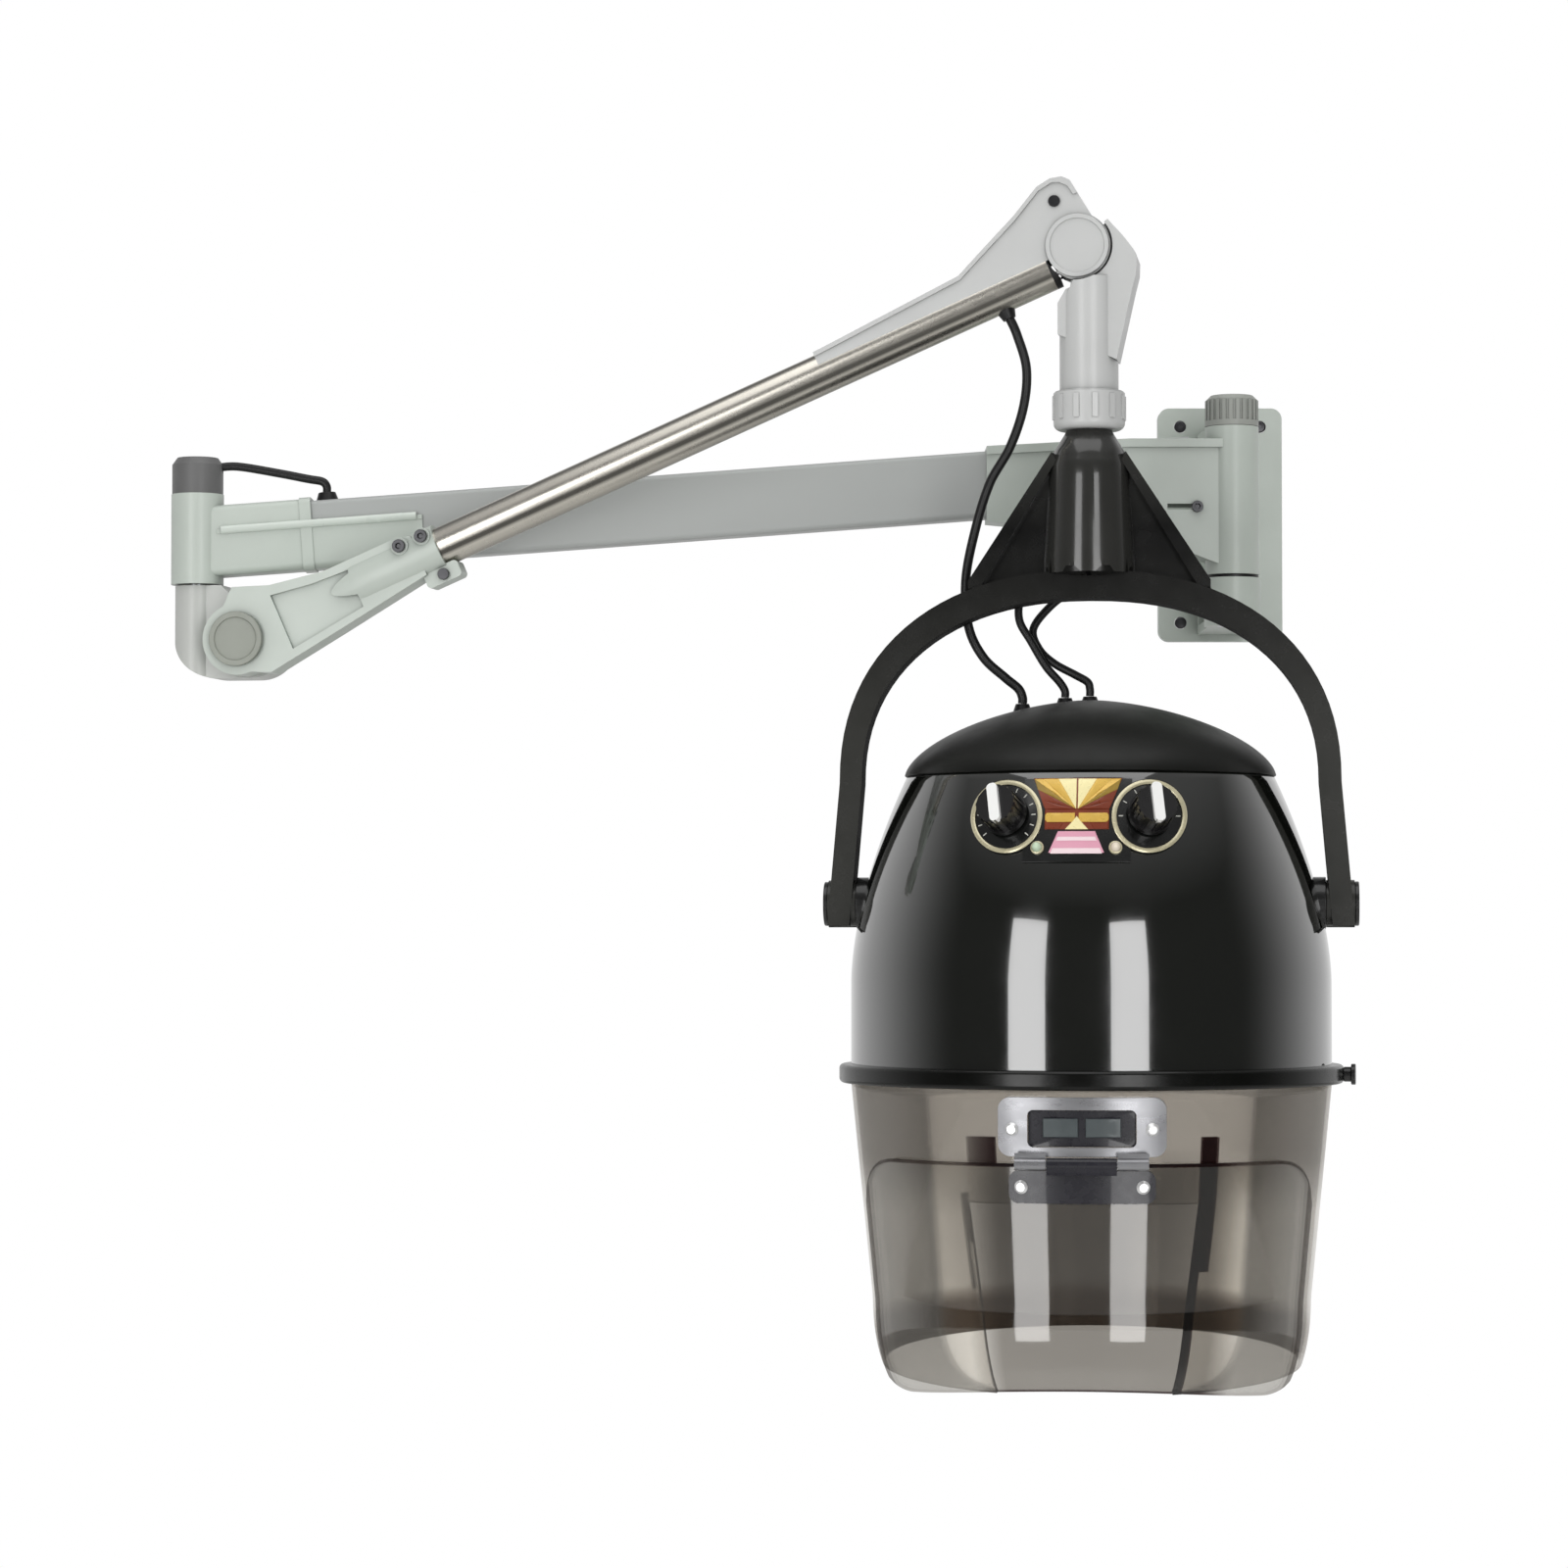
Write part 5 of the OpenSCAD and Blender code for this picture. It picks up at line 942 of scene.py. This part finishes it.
def turned(bm, profile, space, slot=0, segments=40):
    """A turned form about the space's -Y, from radii and distances out."""
    rows = []
    for r, h in profile:
        rows.append([bm.verts.new(space @ Vector((0, -h, 0)))] if r == 0 else
                    [bm.verts.new(space @ Vector((r * math.cos(t), -h, r * math.sin(t))))
                     for t in (2 * math.pi * k / segments for k in range(segments))])
    for a, b in zip(rows, rows[1:]):
        for k in range(segments):
            j = (k + 1) % segments
            corners = [a[k % len(a)], a[j % len(a)], b[j % len(b)], b[k % len(b)]]
            bm.faces.new(list(dict.fromkeys(corners))).material_index = slot


bm = bmesh.new()
for s in (-1, 1):
    space = on_shell(PANEL_A + s * LAMP_A, LAMP_Z)
    turned(bm, [(0, 2.0), (4.4, 2.0), (4.4, 3.2), (4.1, 3.6), (3.5, 3.7), (3.3, 3.3), (0, 3.3)], space, 2)
    bulb = [(3.3 * math.cos(math.radians(a)), 3.5 + 4.6 * math.sin(math.radians(a))) for a in range(0, 90, 9)]
    turned(bm, [(0, 2.6), (3.3, 2.6)] + bulb + [(0, 8.1)], space, 0 if s < 0 else 1)
panel_piece("lamp_lenses", bm, ("lamp", "lamp_warm", "ring"), "lamp_lens", Matrix.Identity(4), "lamps",
            angle=40)

# the boss above the hoop's crown has its own finish, and the hoop's inner faces, facing down and inwards, are
# painted darker and duller as shade
BOSS_X, BOSS_Y, BOSS_LOW, INNER_TOP = 32, 8, 1 - CROWN_DROP, -CROWN_DROP - 3
paint(made["yoke_hoop"], "boss", YOKE, lambda c: abs(c.x) < BOSS_X and abs(c.y) > BOSS_Y and c.z > BOSS_LOW)
for s in (-1, 1):
    paint(made["yoke_hoop"], "yoke_inner_shade", YOKE, lambda c: s * c.x > 0 and c.z < INNER_TOP,
          lambda n: abs(n.y) < 0.3 and (n.z < -0.1 or s * n.x < -0.1))
# the pointers stand on the knobs' tops, painted white as a painted reflection of their chrome
for node, a in zip(("timer_knob", "heat_knob"), KNOB_ANGLES):
    paint(made[node], "pointer", on_shell(a, K), lambda c: c.y < -KNOB_H - 0.05)

# ------------------------------------------------- hinge: dark window and screw heads
LEAF_Z = -145.0


def window_plate(bm, x0, x1, z0, z1, low, high, slot):
    plate(bm, [(x1, z1), (x0, z1), (x0, z0), (x1, z0)], low, high, slot, None, 0.5, skirt_at)


bm = bmesh.new()
window_plate(bm, -34.6, 34.6, LEAF_Z - 11.7, LEAF_Z + 11.7, 0.3, 1.6, 0)
for x0, x1 in ((-25, -2.5), (2.5, 25)):
    window_plate(bm, x0, x1, LEAF_Z - 5.5, LEAF_Z + 6.5, 1.4, 3.2, 1)
panel_piece("hinge_backing", bm, ("leaf", "block"), "leaf_dark", HOOD)

leaf = formed("hinge_lower_leaf", "leaf", "leaf_dark", 0.6, 3)


# the lower leaf's screws: their distance from the middle, height and radius, and the leaf's face over the skirt
SCREW_X, SCREW_Z, SCREW_R, LEAF_OUT = 39, -182.5, 4.6, 7.7


def leaf_screw(c):
    """Whether a point is on one of the lower leaf's screw heads."""
    near = abs(abs(c.x) - SCREW_X) < SCREW_R and abs(c.z - SCREW_Z) < SCREW_R
    return near and c.y < -math.sqrt((skirt_at(c.z) + LEAF_OUT) ** 2 - c.x ** 2)


paint(leaf, "bright", HOOD, leaf_screw)

# ---------------------------------------------------- ridge on the elbow's cheeks, wall screws
ARM_Z, ARM_FALL, RIDGE_Y, RIDGE_Z, RIDGE_R = 32.7, -4.2, -14.3, 7.0, 3.0
ARM = Matrix.Translation((0, -ARM_OUT, ARM_Z)) @ Matrix.Rotation(math.radians(ARM_FALL), 4, "Y")
# the bead's paint is lighter than the casting's, as a painted highlight
ridge_line = [ARM @ Vector((x, RIDGE_Y, RIDGE_Z)) for x in range(-716, -576, 6)]
dress(tube_mesh("cheek_ridge", ridge_line, RIDGE_R, 20), ["ridge"], "casting_paint", "wall_arm")

WALL_SCREW_X, WALL_SCREW_Z, WALL_PLATE = 29, 71.5, 10
bm = bmesh.new()
for x in (-WALL_SCREW_X, WALL_SCREW_X):
    for z in (-WALL_SCREW_Z, WALL_SCREW_Z):
        turned(bm, [(0, -3), (2.2, -3), (2.2, -1.6), (4.3, -0.9), (4.3, -0.2), (3.4, 0.5), (1.6, 0.7),
                    (1.6, 0.0), (0, 0.0)], Matrix.Scale(MM, 4) @ Matrix.Translation((x, -WALL_PLATE, z)), 0, 24)
dress(from_bmesh("wall_screws", bm, 30), ["screw"], "screw_steel", nodes["wall_plate"]["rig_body"])


# ------------------------------------------------------------- floor and light
FLOOR_Z, FLOOR_R, FLOOR_GLOW = -2.3, 9.0, 0.42
bm = bmesh.new()
bmesh.ops.create_circle(bm, cap_ends=True, segments=128, radius=FLOOR_R)
floor = from_bmesh("floor", bm)
floor.location = (-0.3, 0, FLOOR_Z)
floor.data.materials.append(finish("floor_paint", rgb(236, 236, 234), 0.7, grain=60, grain_bump=0.03,
                                   mottle=0.01, mottle_scale=1.5, glow=FLOOR_GLOW))

# the world is white to the camera and through clear pieces, a graded studio to gloss, and a plain fill to
# everything else
FILL, WHITE = 0.42, (1, 1, 1, 1)
world = bpy.data.worlds.new("studio")
scene.world = world
sky = Tree(world, "OutputWorld")
split = sky.node("SeparateXYZ", Vector=sky.node("TexCoord").outputs["Generated"]).outputs


def graded(axis, from_low, from_high, low, high):
    return sky.ranged(split[axis], low, high, from_low, from_high, interpolation_type="SMOOTHSTEP")


# what gloss sees: a dim front, a pale back that dims overhead, and a little light high in front
behind = sky.math("MULTIPLY", graded("Y", -0.35, 0.7, 0.06, 0.75), graded("Z", 0.3, 0.8, 1.0, 0.4))
shine = sky.math("MAXIMUM", behind, graded("Z", 0.3, 0.75, 0.0, 0.28))
studio, fill, white = [sky.node("Background", Color=WHITE, Strength=k).outputs[0] for k in (shine, FILL, 1.0)]
path = sky.node("LightPath").outputs
lit = sky.node("MixShader", Fac=path["Is Glossy Ray"], i1=fill, i2=studio).outputs[0]
seen = sky.math("MAXIMUM", path["Is Camera Ray"], path["Is Transmission Ray"])
sky.surface(sky.node("MixShader", Fac=seen, i1=lit, i2=white).outputs[0])


def softbox(name, at, target, width, height, radiance):
    """A rectangular lamp at a place, turned to a target, and unseen by the camera."""
    data = bpy.data.lights.new(name, "AREA")
    data.shape = "RECTANGLE"
    data.size = width
    data.size_y = height
    data.energy = radiance * math.pi * width * height
    ob = bpy.data.objects.new(name, data)
    ob.location = at
    ob.rotation_euler = (Vector(target) - Vector(at)).to_track_quat("-Z", "Y").to_euler()
    ob.visible_camera = False
    scene.collection.objects.link(ob)


# two softboxes at the hood's height, at a distance from it and at angles from its front
BOX_AT, BOX_AWAY, BOX_SIZE, BOX_RADIANCE = (-0.11, -0.225, -0.27), 3, (0.92, 2.28), 4.0
for side, azimuth in (("left", -33.4), ("right", 14.0)):
    a = math.radians(azimuth)
    at = (BOX_AT[0] + BOX_AWAY * math.sin(a), BOX_AT[1] - BOX_AWAY * math.cos(a), BOX_AT[2])
    softbox("softbox_" + side, at, BOX_AT, *BOX_SIZE, BOX_RADIANCE)
softbox("overhead", (-0.35, -0.9, 2.3), (-0.35, -0.15, -0.2), 3.0, 2.4, 1.25)

scene.view_settings.view_transform = "Standard"
